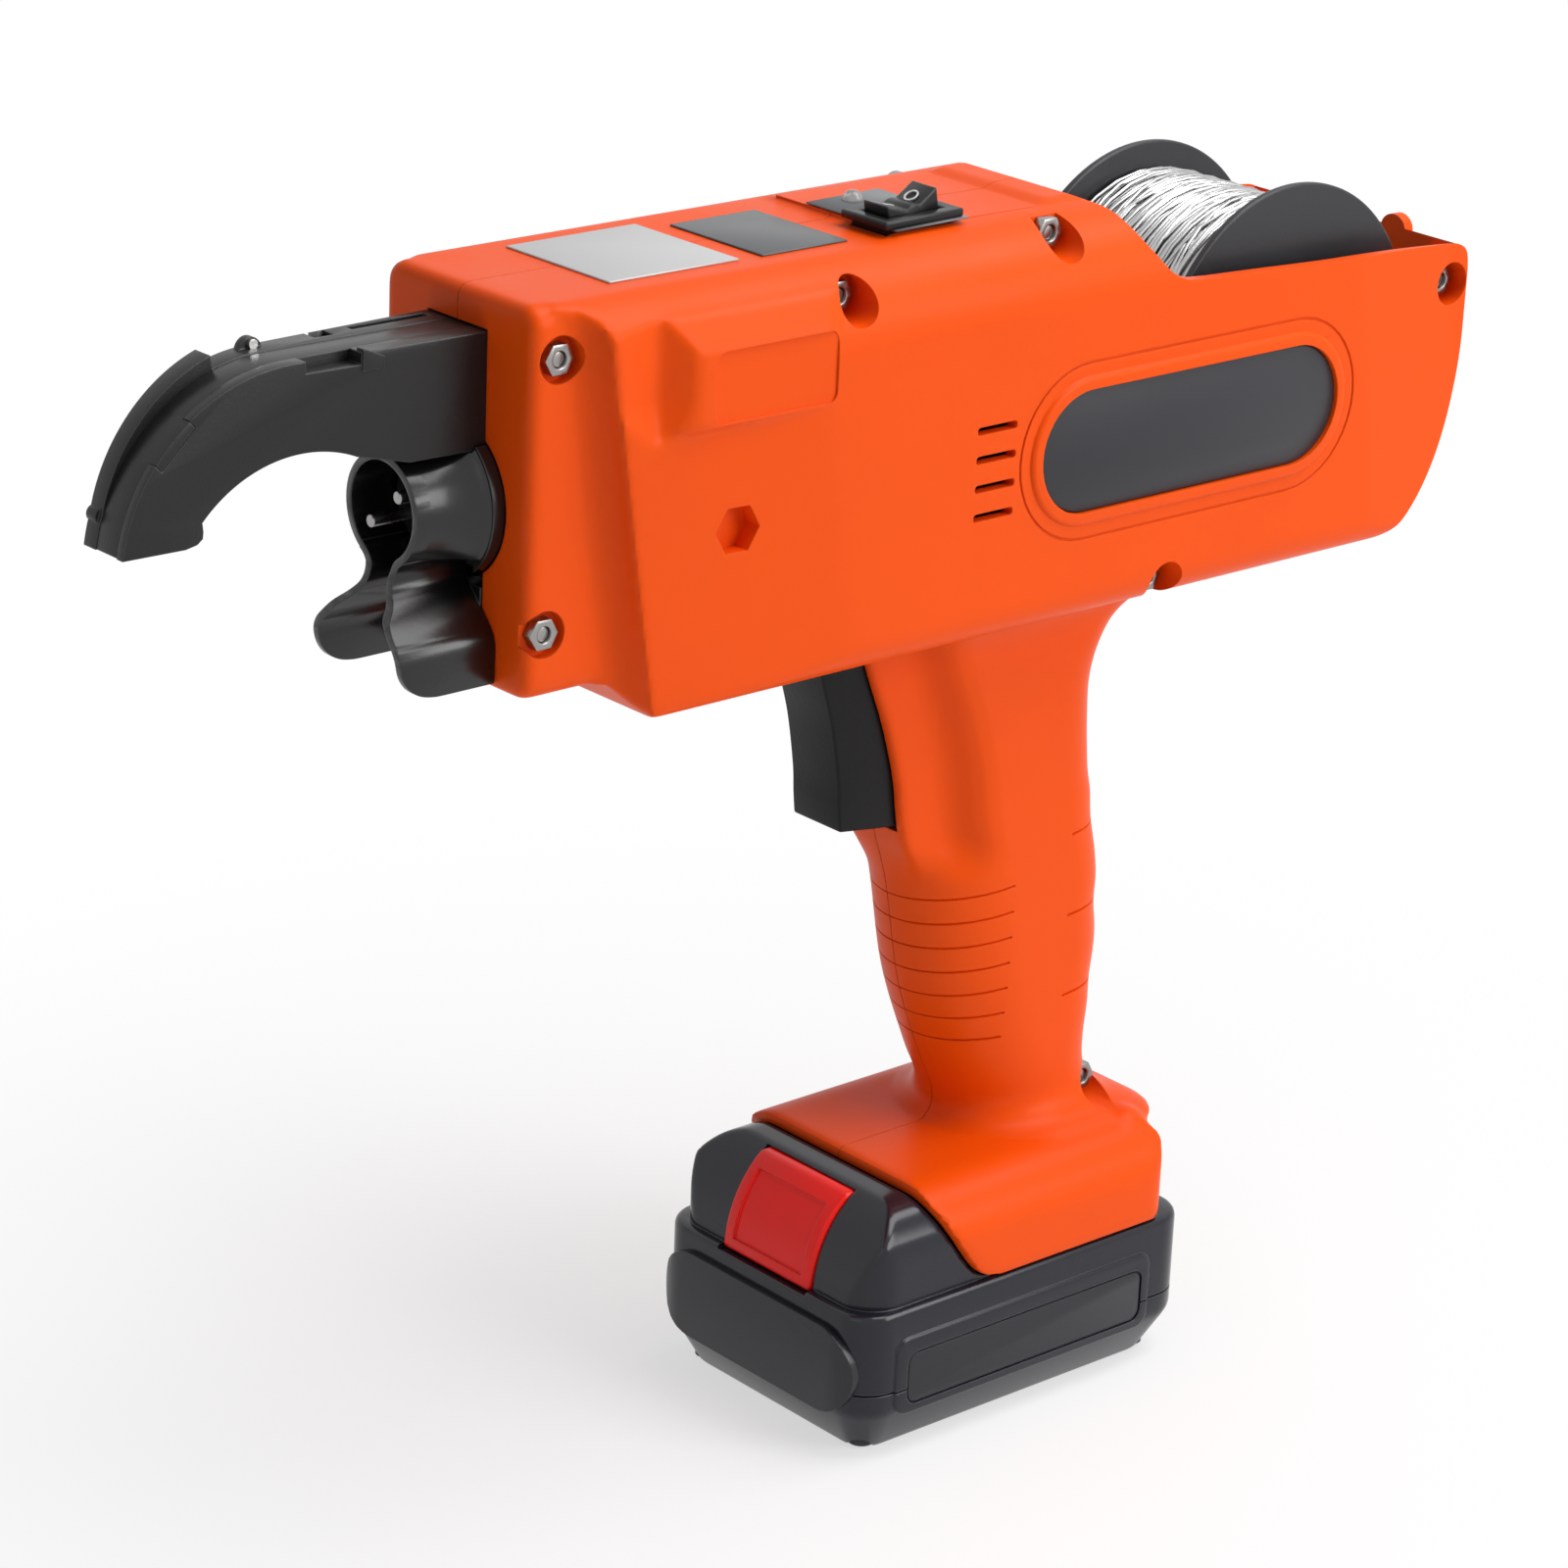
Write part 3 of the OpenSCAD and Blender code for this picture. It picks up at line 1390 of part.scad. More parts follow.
// Controls
module control_board() {
    color(green) {
        box([board_x0, -board_half_w, board_z], [board_x0 + board_len, board_half_w, board_z + board_t]);
        for (x = [board_x0 + board_len / 4, board_x0 + board_len / 2])
            box([x, -board_half_w / 2, board_z],
                [x + board_len / 8, -board_half_w / 4, board_z + 3 * board_t]);
    }
}
module trigger() {
    mid_z = (trigger_low_z + belly_z) / 2;
    top_x = trigger_front_x + trigger_sweep;
    color(black) along_y(-trigger_half_w, trigger_half_w) polygon([
        [trigger_back_x, trigger_low_z], [trigger_front_x, trigger_low_z + trigger_bow],
        [trigger_front_x + trigger_bow / 4, trigger_low_z + trigger_sweep],
        [trigger_front_x + trigger_bow, mid_z - trigger_bow],
        [trigger_front_x + trigger_sweep * trigger_mid_share, belly_z - 2 * trigger_sweep],
        [top_x, belly_z - trigger_bow], [top_x, trigger_top_z], [trigger_back_x, trigger_top_z]
    ]);
}
switch_mid_z = switch_z0 + switch_h / 2;
module trigger_switch() {
    color(charcoal) {
        box([switch_x1 - switch_len, -switch_half_w, switch_z0],
            [switch_x1, switch_half_w, switch_z0 + switch_h]);
        bar_x(switch_x1 - over, switch_x1 + plunger_r, 0, switch_mid_z, plunger_r);
    }
}
module trigger_spring() {
    color(steel) translate([switch_x1, 0, switch_mid_z])
        coil_spring(trigger_spring_len, trigger_spring_r, spring_wire_r);
}
module terminal_block() {
    top = foot_top_z - wall;
    color(black) difference() {
        box([terminal_x0, -terminal_half_w, top - terminal_h], [terminal_x1, terminal_half_w, top]);
        for (s = [-1, 1])
            box([terminal_x0 + over, s * blade_y - blade_t / 2 - snug, 0],
                [terminal_x0 + over + blade_len, s * blade_y + blade_t / 2 + snug, top - over]);
    }
}
module terminal_blades() {
    top = foot_top_z - wall - over;
    color(brass) for (s = [-1, 1])
        box([terminal_x0 + over + snug, s * blade_y - blade_t / 2, top - terminal_h - blade_drop + 2 * over],
            [terminal_x0 + over + blade_len - snug, s * blade_y + blade_t / 2, top]);
}

// Reel
module wire_reel() {
    color(charcoal) difference() {
        union() {
            bar_y(-reel_half_w, reel_half_w, reel_x, reel_z, hub_r);
            for (y = [-reel_half_w, reel_half_w - flange_t]) bar_y(y, y + flange_t, reel_x, reel_z, reel_r);
        }
        bar_y(-reel_half_w - over, reel_half_w + over, reel_x, reel_z, reel_bore_r);
    }
}
module wire_coil() {
    w = reel_half_w - flange_t - touch;
    color(silver) difference() {
        bar_y(-w, w, reel_x, reel_z, coil_r);
        bar_y(-w - over, w + over, reel_x, reel_z, hub_r + touch);
    }
}
module reel_shaft() {
    w = reel_half_w + 2 * wall;
    color(steel) bar_y(-w + touch, w - touch, reel_x, reel_z, reel_shaft_r);
}

// Battery

// Plan outline of the battery, drawn in by i
module batt_plan(i) {
    soft_rect(-batt_len / 2 + i, -foot_half_w + i, batt_len / 2 - i, foot_half_w - i, batt_r - i);
}
module screw_places() {
    for (x = [-screw_x, screw_x]) for (y = [-screw_y, screw_y]) translate([x, y, 0]) children();
}
// Lower part of the battery, tapering to the floor, drawn in by i
module batt_low_solid(i) {
    l = batt_len / 2 - i;
    w = foot_half_w - i;
    low = batt_chamfer_w;
    intersection() {
        along_z(i, reach) batt_plan(i);
        along_x(-reach, reach) polygon([
            [-w + low, 0], [w - low, 0], [w, batt_chamfer_z], [w, reach], [-w, reach], [-w, batt_chamfer_z]
        ]);
        along_y(-reach, reach) polygon([
            [-l + low, 0], [l - low, 0], [l, batt_chamfer_z], [l, reach], [-l, reach], [-l, batt_chamfer_z]
        ]);
    }
}
module battery_lower_case() {
    color(charcoal) difference() {
        intersection() {
            batt_low_solid(0);
            box([-reach, -reach, 0], [reach, reach, split_z]);
        }
        difference() {
            batt_low_solid(case_wall);
            screw_places() cylinder(h = reach, r = screw_boss_r);
        }
        screw_places() {
            cylinder(h = reach, r = screw_r + snug);
            translate([0, 0, -over]) cylinder(h = over + screw_sink + screw_head_h, r = screw_head_r + touch);
        }
    }
}

// Side outline of the battery's upper front, ahead of the foot
module dome_side(i) {
    polygon([
        [foot_low_x + dome_gap + i, foot_low_z - 2 * gap], [foot_front_x + dome_gap + i, foot_top_z - i],
        [dome_x1 - i, dome_z1 - i], [dome_x2 - i, dome_z2 - i / 2], [dome_x3 - i, button_low_z],
        [batt_len / 2 - i, foot_low_z - 2 * gap]
    ]);
}
module foot_cross_full(i) {
    foot_cross(i);
    mirror([1, 0]) foot_cross(i);
}
module button_side(d) {
    polygon([
        [dome_x1 + button_proud, dome_z1 - button_proud], [dome_x2 + button_proud, dome_z2],
        [dome_x3 + button_proud, button_low_z], [dome_x3 - d, button_low_z], [dome_x2 - d, dome_z2],
        [dome_x1 - d, dome_z1 - button_proud]
    ]);
}
module battery_upper_case() {
    blade_x1 = terminal_x0 + over + blade_len + over;
    rail_floor = batt_top_z - case_wall;
    color(charcoal) difference() {
        union() {
            along_z(split_z, batt_top_z) batt_plan(0);
            intersection() {
                along_y(-reach, reach) dome_side(0);
                along_x(0, reach) foot_cross_full(0);
            }
            intersection() {
                along_x(rail_back_x, foot_low_x + foot_r) {
                    translate([-rail_neck_w, rail_floor]) square([2 * rail_neck_w, rail_z - rail_floor]);
                    translate([-rail_w, rail_z]) square([2 * rail_w, rail_top_z - rail_z]);
                }
                along_x(-reach, reach) foot_cross_full(wall + dome_gap);
            }
        }
        difference() {
            along_z(0, rail_floor) batt_plan(case_wall);
            screw_places() cylinder(h = reach, r = screw_boss_r);
        }
        screw_places() cylinder(h = screw_sink + screw_head_h + screw_len + over, r = screw_r + snug);
        along_y(-button_half_w - button_gap, button_half_w + button_gap) button_pocket();
        bar_x(button_seat_x - button_spring_len, dome_x3, 0, button_mid_z,
              button_spring_r + spring_wire_r + gap);
        for (s = [-1, 1])
            box([rail_back_x - over, s * blade_y - blade_t, rail_floor + case_wall],
                [blade_x1, s * blade_y + blade_t, rail_top_z + over]);
    }
}
// Pocket behind the release button, deep enough for its travel
module button_pocket() {
    d = button_t + button_travel + button_gap;
    polygon([
        [dome_x1 + reach, dome_z1 - button_proud + button_gap], [dome_x1 + reach, button_low_z - button_gap],
        [dome_x3 - d, button_low_z - button_gap], [dome_x2 - d, dome_z2],
        [dome_x1 - d, dome_z1 - button_proud + button_gap]
    ]);
}
module battery_front_plate() {
    x = batt_len / 2;
    r = (front_plate_z1 - front_plate_z0) / 2;
    color(charcoal) along_x(x, x + front_plate_t)
        soft_rect(-front_plate_w + batt_r / 2, front_plate_z0, front_plate_w - batt_r / 2,
              front_plate_z1, r - over);
}
module battery_side_plates() {
    color(charcoal) for (s = [0, 1]) mirror([0, s, 0])
        along_y(foot_half_w, foot_half_w + side_plate_t)
            soft_rect(side_plate_x0, side_plate_z0, side_plate_x1, side_plate_z1, side_plate_r);
}
module release_button() {
    color(red) difference() {
        along_y(-button_half_w, button_half_w) button_side(button_t);
        bar_x(dome_x2 - 2 * button_t, button_seat_x, 0, button_mid_z, button_spring_r + spring_wire_r + gap);
    }
}
module button_spring() {
    color(steel) translate([button_seat_x - button_spring_len, 0, button_mid_z])
        coil_spring(button_spring_len, button_spring_r, spring_wire_r);
}
module battery_cells() {
    color(green) for (k = [-1:1]) bar_x(-cell_len / 2, cell_len / 2, k * cell_pitch, cell_z, cell_r);
}
module battery_screws() {
    color(steel) screw_places() {
        translate([0, 0, screw_sink]) cylinder(h = screw_head_h, r = screw_head_r);
        translate([0, 0, screw_sink]) cylinder(h = screw_head_h + screw_len, r = screw_r);
    }
}

left_housing();
right_housing();
housing_bolts();
housing_nuts();
left_name_plate();
right_name_plate();
silver_plate();
dark_plate();
switch_film();
rocker_bezel();
rocker_button();
indicator_lamp();
guide_left_plate();
guide_right_plate();
guide_liner();
guide_pins();
wire_mouth();
barrel_flange();
twist_head();
twist_pins();
twist_shaft();
front_bearing();
rear_bearing();
planet_carrier();
planet_gear_1();
planet_gear_2();
planet_gear_3();
ring_gear();
sun_gear();
motor_shaft();
twist_motor();
feed_frame();
feed_motor();
feed_pinion();
drive_gear();
drive_axle();
driven_gear();
pressure_lever();
lever_pin();
lever_spring();
inlet_tube();
control_board();
trigger();
trigger_switch();
trigger_spring();
terminal_block();
terminal_blades();
wire_reel();
wire_coil();
reel_shaft();
battery_lower_case();
battery_upper_case();
battery_front_plate();
battery_side_plates();
release_button();
button_spring();
battery_cells();
battery_screws();
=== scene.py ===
import math
import random

import bmesh
import bpy
from mathutils import Matrix, Vector


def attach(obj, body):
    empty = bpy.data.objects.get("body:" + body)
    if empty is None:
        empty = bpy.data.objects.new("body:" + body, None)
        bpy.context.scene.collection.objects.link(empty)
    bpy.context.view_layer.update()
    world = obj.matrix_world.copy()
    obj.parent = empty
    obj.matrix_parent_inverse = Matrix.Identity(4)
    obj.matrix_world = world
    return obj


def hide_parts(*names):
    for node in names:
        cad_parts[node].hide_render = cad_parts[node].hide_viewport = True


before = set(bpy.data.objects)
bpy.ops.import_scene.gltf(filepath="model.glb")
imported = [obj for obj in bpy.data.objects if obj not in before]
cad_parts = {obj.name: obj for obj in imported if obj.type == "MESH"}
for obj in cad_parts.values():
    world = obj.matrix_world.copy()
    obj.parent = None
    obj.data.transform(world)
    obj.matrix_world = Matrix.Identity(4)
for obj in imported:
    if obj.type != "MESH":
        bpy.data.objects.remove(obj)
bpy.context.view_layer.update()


# Moulded housing
# Two bright orange shells of glass-filled nylon, bolted together along the middle plane, with the reel
# bay, the grip and the foot. Sizes are in millimetres until a piece is finished and brought to metres.
NOSE_X, NOSE_HALF_W, NOSE_LOW, NOSE_R, NOSE_EDGE_R = 125, 21.5, 173, 4, 2.2
DECK_Z, BELLY_Z, BELLY_R, BODY_HALF_W, FRONT_HALF_W, TAPER_X = 245, 167, 6, 31, 28.1, 55
SHOULDER_Y, SHOULDER_Z, SHOULDER_R = 15, 229.6, 16
SHELL_T, SEAM = 2.5, 0.1
TWIST_Z = 206.4
FLARE_X, FLARE_LEN, FLARE_LEAN = 106, 6, 9
STEP_X, STEP_Z, DIP_X, DIP_Z, RIDGE_X, CREST_X, CREST_Z = 38.5, 245.9, 0.5, 245.4, -2.5, -8.5, 246.4
REAR_X, REAR_HALF_W, BEYOND_X = -108, 28.8, -130
TAIL_X, TAIL_Z, TAIL_RX, TAIL_RZ = -82, 209, 26, 42
PARTITION_X, BAY_HALF_W = -26.6, 28.5
BLOCK_X0, BLOCK_X1, BLOCK_LOW, BLOCK_HIGH, BLOCK_HALF_W, BLOCK_R = 60, 104, 220.5, 243, 31.2, 1.6
FOOT_TOP, FOOT_LOW, FOOT_HALF_W, FOOT_R, FOOT_REAR, FOOT_CORNER_R = 52.7, 32, 31.5, 12, -38.2, 5
HEEL_X, HEEL_Y, HEEL_Z, HEEL_R = -33.4, 20.5, 47.6, 6.4
BOLTS = ((119, 235.3, 19), (121, 185.5, 19), (56.5, 238, 21), (3, 242, 19.5),
         (-103.4, 218.5, 23.5), (-25.35, 170.4, 23.5), (-30.5, 58, 9.5))
BOSS_R, POCKET_R, BOLT_HOLE_R, FLANGE_BORE_R = 5.6, 4.4, 1.65, 14.9
REACH, OUTSIDE, FAR, TALL = 40, 45, 60, 300
ARM_ROOM = (112, -8.6, 174.6), (127, 8.6, 238.6)
TRIGGER_ROOM = (6.2, -7.3, 121.5), (44.2, 7.3, 171.3)
ROCKER_ROOM = (22.65, 6.3, 230), (39.35, 16.3, 250)


def arc(cx, cy, rx, ry, start, end, steps=14):
    """Points of an elliptic arc, in degrees"""
    turn = [math.radians(start + (end - start) * k / steps) for k in range(steps + 1)]
    return [(cx + rx * math.cos(a), cy + ry * math.sin(a)) for a in turn]


def soft_rect(x0, y0, x1, y1, r):
    """Outline of a rectangle with round corners"""
    return (arc(x1 - r, y1 - r, r, r, 0, 90, 8) + arc(x0 + r, y1 - r, r, r, 90, 180, 8)
            + arc(x0 + r, y0 + r, r, r, 180, 270, 8) + arc(x1 - r, y0 + r, r, r, 270, 360, 8))


def prism(points, axis, low, high):
    """Closed block: an outline drawn out along one axis"""
    bm = bmesh.new()
    spot = {"x": lambda u, v, w: (w, u, v), "y": lambda u, v, w: (u, w, v),
            "z": lambda u, v, w: (u, v, w)}[axis]
    bm.faces.new([bm.verts.new(spot(u, v, low)) for u, v in points])
    bmesh.ops.remove_doubles(bm, verts=bm.verts, dist=1e-4)
    grown = bmesh.ops.extrude_face_region(bm, geom=list(bm.faces))["geom"]
    bmesh.ops.translate(bm, vec=spot(0, 0, high - low),
                        verts=[part for part in grown if isinstance(part, bmesh.types.BMVert)])
    bmesh.ops.recalc_face_normals(bm, faces=bm.faces)
    return bm


def box(low, high):
    """Closed box between two corners"""
    (x0, y0, z0), (x1, y1, z1) = low, high
    return prism([(x0, y0), (x1, y0), (x1, y1), (x0, y1)], "z", z0, z1)


def rod(axis, low, high, u, v, r, sides=40):
    """Closed round bar along one axis"""
    return prism(arc(u, v, r, r, 0, 360 - 360 / sides, sides - 1), axis, low, high)


def solid(name, bm):
    """Puts a mesh into the scene"""
    mesh = bpy.data.meshes.new(name)
    bm.to_mesh(mesh)
    bm.free()
    made = bpy.data.objects.new(name, mesh)
    bpy.context.scene.collection.objects.link(made)
    return made


def copied(name, piece):
    """A second object with a mesh of its own"""
    made = bpy.data.objects.new(name, piece.data.copy())
    bpy.context.scene.collection.objects.link(made)
    return made


def across(side, near, far):
    """Reach of a tool on one side of the middle plane, from low to high"""
    return sorted((side * near, side * far))


def rounded(bm, edges, width, segments):
    """Rounds some of a mesh's edges"""
    bmesh.ops.bevel(bm, geom=edges, offset=width, offset_type="OFFSET", segments=segments, profile=0.5,
                    affect="EDGES", clamp_overlap=True, material=-1)


def settle(piece):
    """Makes a piece's modifiers part of its mesh"""
    graph = bpy.context.evaluated_depsgraph_get()
    mesh = bpy.data.meshes.new_from_object(piece.evaluated_get(graph))
    piece.modifiers.clear()
    old, piece.data = piece.data, mesh
    bpy.data.meshes.remove(old)


def work(piece, how, *tools):
    """Joins, cuts or trims a solid with other meshes, which are used up"""
    used = [solid("tool", bm) if isinstance(bm, bmesh.types.BMesh) else bm for bm in tools]
    for tool in used:
        step = piece.modifiers.new(how.lower(), "BOOLEAN")
        step.operation, step.solver, step.object = how, "MANIFOLD", tool
    settle(piece)
    for tool in used:
        mesh = tool.data
        bpy.data.objects.remove(tool)
        bpy.data.meshes.remove(mesh)
    return piece


def melt(piece, voxel, rounds):
    """Runs a solid's parts together and rounds its edges, as a mould's radii do"""
    step = piece.modifiers.new("melt", "REMESH")
    step.mode, step.voxel_size = "VOXEL", voxel
    ease = piece.modifiers.new("ease", "SMOOTH")
    ease.factor, ease.iterations = 0.5, rounds
    settle(piece)


def finished(piece, name, body, slot, *nodes, sharp=32):
    """Brings a piece to metres, shades it and hands it to the frame"""
    piece.name = piece.data.name = name
    piece.data.transform(Matrix.Scale(0.001, 4))
    for face in piece.data.polygons:
        face.use_smooth = True
    piece.data.set_sharp_from_angle(angle=math.radians(sharp))
    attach(piece, body)
    if nodes:
        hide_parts(*nodes)
    return piece


def both_sides(half):
    """A half outline in (across, up), closed over the middle plane"""
    return half + [(-y, z) for y, z in reversed(half)]


def scoop(side, i):
    """Room of the hollow ahead of the block on one flank, fading out below"""
    bm = bmesh.new()
    for z, rise in ((219, 1.6), (226, 0), (262, 0)):
        for x, y in ((95.2, 31.5), (101.2, 26.4), (113.5, 28.2), (120, 40), (95, 40)):
            bm.verts.new((x, side * (y + rise - i), z))
    bmesh.ops.convex_hull(bm, input=bm.verts)
    bmesh.ops.recalc_face_normals(bm, faces=bm.faces)
    return bm


def body_form(i):
    """The body drawn in by i: side, cross and leaning plan outlines, kept where all three agree"""
    side = [(NOSE_X - i, NOSE_LOW + i), (NOSE_X - i, DECK_Z - i), (STEP_X - i, DECK_Z - i),
            (STEP_X - i, STEP_Z - i), (DIP_X, DIP_Z - i), (RIDGE_X, CREST_Z - i), (BEYOND_X, CREST_Z - i),
            (BEYOND_X, BELLY_Z + i), (FLARE_X - FLARE_LEN, BELLY_Z + i), (FLARE_X, NOSE_LOW + i)]
    belly_r, shoulder_r, half_w = BELLY_R - i, SHOULDER_R - i, BODY_HALF_W - i
    cross = both_sides(arc(BODY_HALF_W - BELLY_R, BELLY_Z + BELLY_R, belly_r, belly_r, 270, 360, 8)
                       + arc(SHOULDER_Y, SHOULDER_Z, shoulder_r, shoulder_r, 0, 90) + [(SHOULDER_Y, 260)])
    half = ([(FLARE_X - i, NOSE_HALF_W - i)]
            + arc(FLARE_X - i, FRONT_HALF_W - i, FLARE_LEN, FRONT_HALF_W - NOSE_HALF_W, 270, 180)
            + [(TAPER_X, half_w), (TAIL_X, half_w), (-110, REAR_HALF_W - i), (-300, REAR_HALF_W - i)])
    plan = half + [(x, -y) for x, y in reversed(half)]
    walls = prism(plan, "z", -100, TALL)
    bmesh.ops.rotate(walls, cent=(0, 0, BELLY_Z), verts=walls.verts,
                     matrix=Matrix.Rotation(math.radians(FLARE_LEAN), 3, "Y"))
    form = solid("body", prism(side, "y", -REACH, REACH))
    work(form, "INTERSECT", prism(cross, "x", -140, 130), walls)
    front = NOSE_X - i
    nose = prism(soft_rect(i - NOSE_HALF_W, NOSE_LOW + i, NOSE_HALF_W - i, DECK_Z - i, NOSE_R),
                 "x", 50, front)
    rounded(nose, [edge for edge in nose.edges if all(vert.co.x > front - 0.1 for vert in edge.verts)],
            NOSE_EDGE_R, 4)
    block_w = BLOCK_HALF_W - i
    block = solid("block", prism([(BLOCK_X0 + i, 0), (BLOCK_X0 + i, 27.2 - i), (64 + i, block_w),
                                  (94.7 - i, block_w), (BLOCK_X1 - i, FRONT_HALF_W - i), (BLOCK_X1 - i, 0)],
                                 "z", BLOCK_LOW + i, BLOCK_HIGH - i))
    work(block, "INTERSECT", prism([(0, 200), (block_w, 200), (block_w, 235 - i), (27.6 - i, 240.6 - i),
                                    (23 - i, BLOCK_HIGH - i), (0, DECK_Z)], "x", 40, 120))
    bm = bmesh.new()
    bm.from_mesh(block.data)
    rounded(bm, [edge for edge in bm.edges if edge.calc_face_angle(0) > 0.2
                 and all(vert.co.y > 20 for vert in edge.verts)], BLOCK_R, 3)
    bm.to_mesh(block.data)
    bm.free()
    other = copied("block", block)
    other.data.transform(Matrix.Scale(-1, 4, (0, 1, 0)))
    other.data.flip_normals()
    work(form, "UNION", block, other)
    work(form, "DIFFERENCE", scoop(1, i), scoop(-1, i))
    return work(form, "UNION", nose)


def curve(points, steps=8):
    """A smooth line through points"""
    ends = [points[0], *points, points[-1]]
    line = []
    for a, b, c, d in zip(ends, ends[1:], ends[2:], ends[3:]):
        for t in (k / steps for k in range(steps)):
            line.append(tuple(q + 0.5 * ((r - p) * t + (2 * p - 5 * q + 4 * r - s) * t ** 2
                                         + (3 * q - p - 3 * r + s) * t ** 3)
                              for p, q, r, s in zip(a, b, c, d)))
    return line + [points[-1]]


def along(line, t):
    """Second value of a line at its first value t"""
    for (a, u), (b, v) in zip(line, line[1:]):
        if t <= b:
            return u + (v - u) * min(max((t - a) / (b - a), 0), 1)
    return line[-1][1]


def spaced(points, count):
    """Evenly spaced points along a line"""
    way = [0.0]
    for a, b in zip(points, points[1:]):
        way.append(way[-1] + math.dist(a, b))
    stops = [way[-1] * k / count for k in range(count + 1)]
    return [tuple(along([(w, p[n]) for w, p in zip(way, points)], s) for n in (0, 1)) for s in stops]


def round_in(distance, r):
    """How far a fillet of radius r stands out at a distance from the face it runs into"""
    return 0 if distance >= r else r - math.sqrt(max(r * r - (r - distance) ** 2, 0))


GRIP_FRONT = curve([(45, -4), (53, -1.4), (61, 1.2), (68, 4.6), (86, 11.6), (108, 16.2), (122, 20.7),
                    (133, 22.6), (145, 26.2), (157, 31), (172, 36)])
GRIP_REAR = curve([(45, -33.5), (62, -32.3), (69, -32.2), (75, -32.8), (81, -32.8), (87, -33.5), (92, -33.5),
                   (97.5, -32.7), (103, -32.9), (109, -32), (116, -30.3), (122, -29.7), (128, -28.4),
                   (144, -27.2), (172, -27)])
GRIP_HALF_W, GRIP_REAR_R, EGG, LIP_HALF_W, LIP_LOW, LIP_HIGH = 16, 11, 20, 9.2, 110, 118
GROOVE_LEAN = 0.1


def grip_outline(z, i):
    """The grip at height z, drawn in by i: egg-shaped below, narrowing to a lip behind the trigger above"""
    up, down, web = BELLY_Z - z, z - FOOT_TOP, 0 if i > 0 else 1
    front = along(GRIP_FRONT, z) + web * (round_in(down, 7) * 0.8 + round_in(up, 6)) - i
    rear = along(GRIP_REAR, z) - web * (round_in(down, 12) + round_in(up, 24)) + i
    half_w = GRIP_HALF_W + web * (round_in(down, 8) + round_in(up, 10) * 0.8) - i
    lip_w = LIP_HALF_W + web * round_in(up, 5) - i
    share = min(max((z - LIP_LOW) / (LIP_HIGH - LIP_LOW), 0), 1)
    egg = spaced(arc(front - EGG, 0, EGG, half_w, 0, 90, 40), 28)
    lip = spaced([(front, 0), (front, lip_w - 1.4), (front - 0.4, lip_w - 0.4), (front - 1.4, lip_w),
                  (front - 8.6, lip_w + 0.2), (front - 11, lip_w + 0.9), (front - 13, lip_w + 2.4),
                  (front - 15, half_w - 2.2), (front - 17.2, half_w - 0.6), (front - EGG, half_w)], 28)
    half = [(a[0] + (b[0] - a[0]) * share, a[1] + (b[1] - a[1]) * share) for a, b in zip(egg, lip)]
    rear_r = GRIP_REAR_R - i
    half += arc(rear + GRIP_REAR_R - i, half_w - GRIP_REAR_R + i, rear_r, rear_r, 90, 180, 12)
    return half + [(x, -y) for x, y in reversed(half[1:])]


def add_loop(bm, points):
    """One closed loop of edges through points"""
    ring = bmesh.ops.create_circle(bm, cap_ends=False, segments=len(points), radius=1)["verts"]
    for vert, point in zip(ring, points):
        vert.co = point


def skinned(bm):
    """Skins a stack of loops and closes both ends"""
    bmesh.ops.bridge_loops(bm, edges=list(bm.edges))
    bmesh.ops.holes_fill(bm, edges=[edge for edge in bm.edges if edge.is_boundary], sides=0)
    bmesh.ops.recalc_face_normals(bm, faces=bm.faces)
    return bm


def grip_form(i, low, high, levels=80):
    """The grip drawn in by i, running out into the body above and the foot below"""
    bm = bmesh.new()
    for z in (low + (high - low) * k / levels for k in range(levels + 1)):
        add_loop(bm, [(x, y, z) for x, y in grip_outline(z, i)])
    return skinned(bm)


def grip_groove(z, width, depth):
    """A sharp groove round the grip, as a closed ring to cut with"""
    bm = bmesh.new()
    for grow, lift in ((2.5, -width), (-depth, 0), (2.5, width)):
        add_loop(bm, [(x, y, z + lift - GROOVE_LEAN * x) for x, y in grip_outline(z, -grow)])
    bmesh.ops.bridge_loops(bm, edges=list(bm.edges), use_cyclic=True)
    bmesh.ops.recalc_face_normals(bm, faces=bm.faces)
    return bm


def foot_cross(i):
    """Cross outline of the foot, drawn in by i"""
    r = FOOT_R - i
    return both_sides([(FOOT_HALF_W - i, 0)] + arc(FOOT_HALF_W - FOOT_R, FOOT_TOP - FOOT_R, r, r, 0, 90))


shell = body_form(0)
FOOT_FRONT = curve([(9, FOOT_LOW), (12.3, 32.8), (15.3, 35.2), (20.6, 42.4), (25, 50), (25.4, FOOT_TOP)], 6)
foot = solid("foot", prism(foot_cross(0), "x", -FAR, FAR))
work(foot, "INTERSECT",
     prism(FOOT_FRONT + [(-33, FOOT_TOP), (-36.6, 51.7), (FOOT_REAR, 48.8), (FOOT_REAR, 34), (-37, FOOT_LOW)],
           "y", -REACH, REACH),
     prism(soft_rect(FOOT_REAR, -FOOT_HALF_W, 60, FOOT_HALF_W, FOOT_CORNER_R), "z", 0, 60))
heels = []
for y in (-HEEL_Y, HEEL_Y):
    heel = bmesh.new()
    bmesh.ops.create_uvsphere(heel, u_segments=32, v_segments=20, radius=HEEL_R)
    bmesh.ops.translate(heel, vec=(HEEL_X, y, HEEL_Z), verts=heel.verts)
    heels.append(heel)
work(shell, "UNION", grip_form(0, 50, 169), foot, *heels)
melt(shell, 0.8, 6)
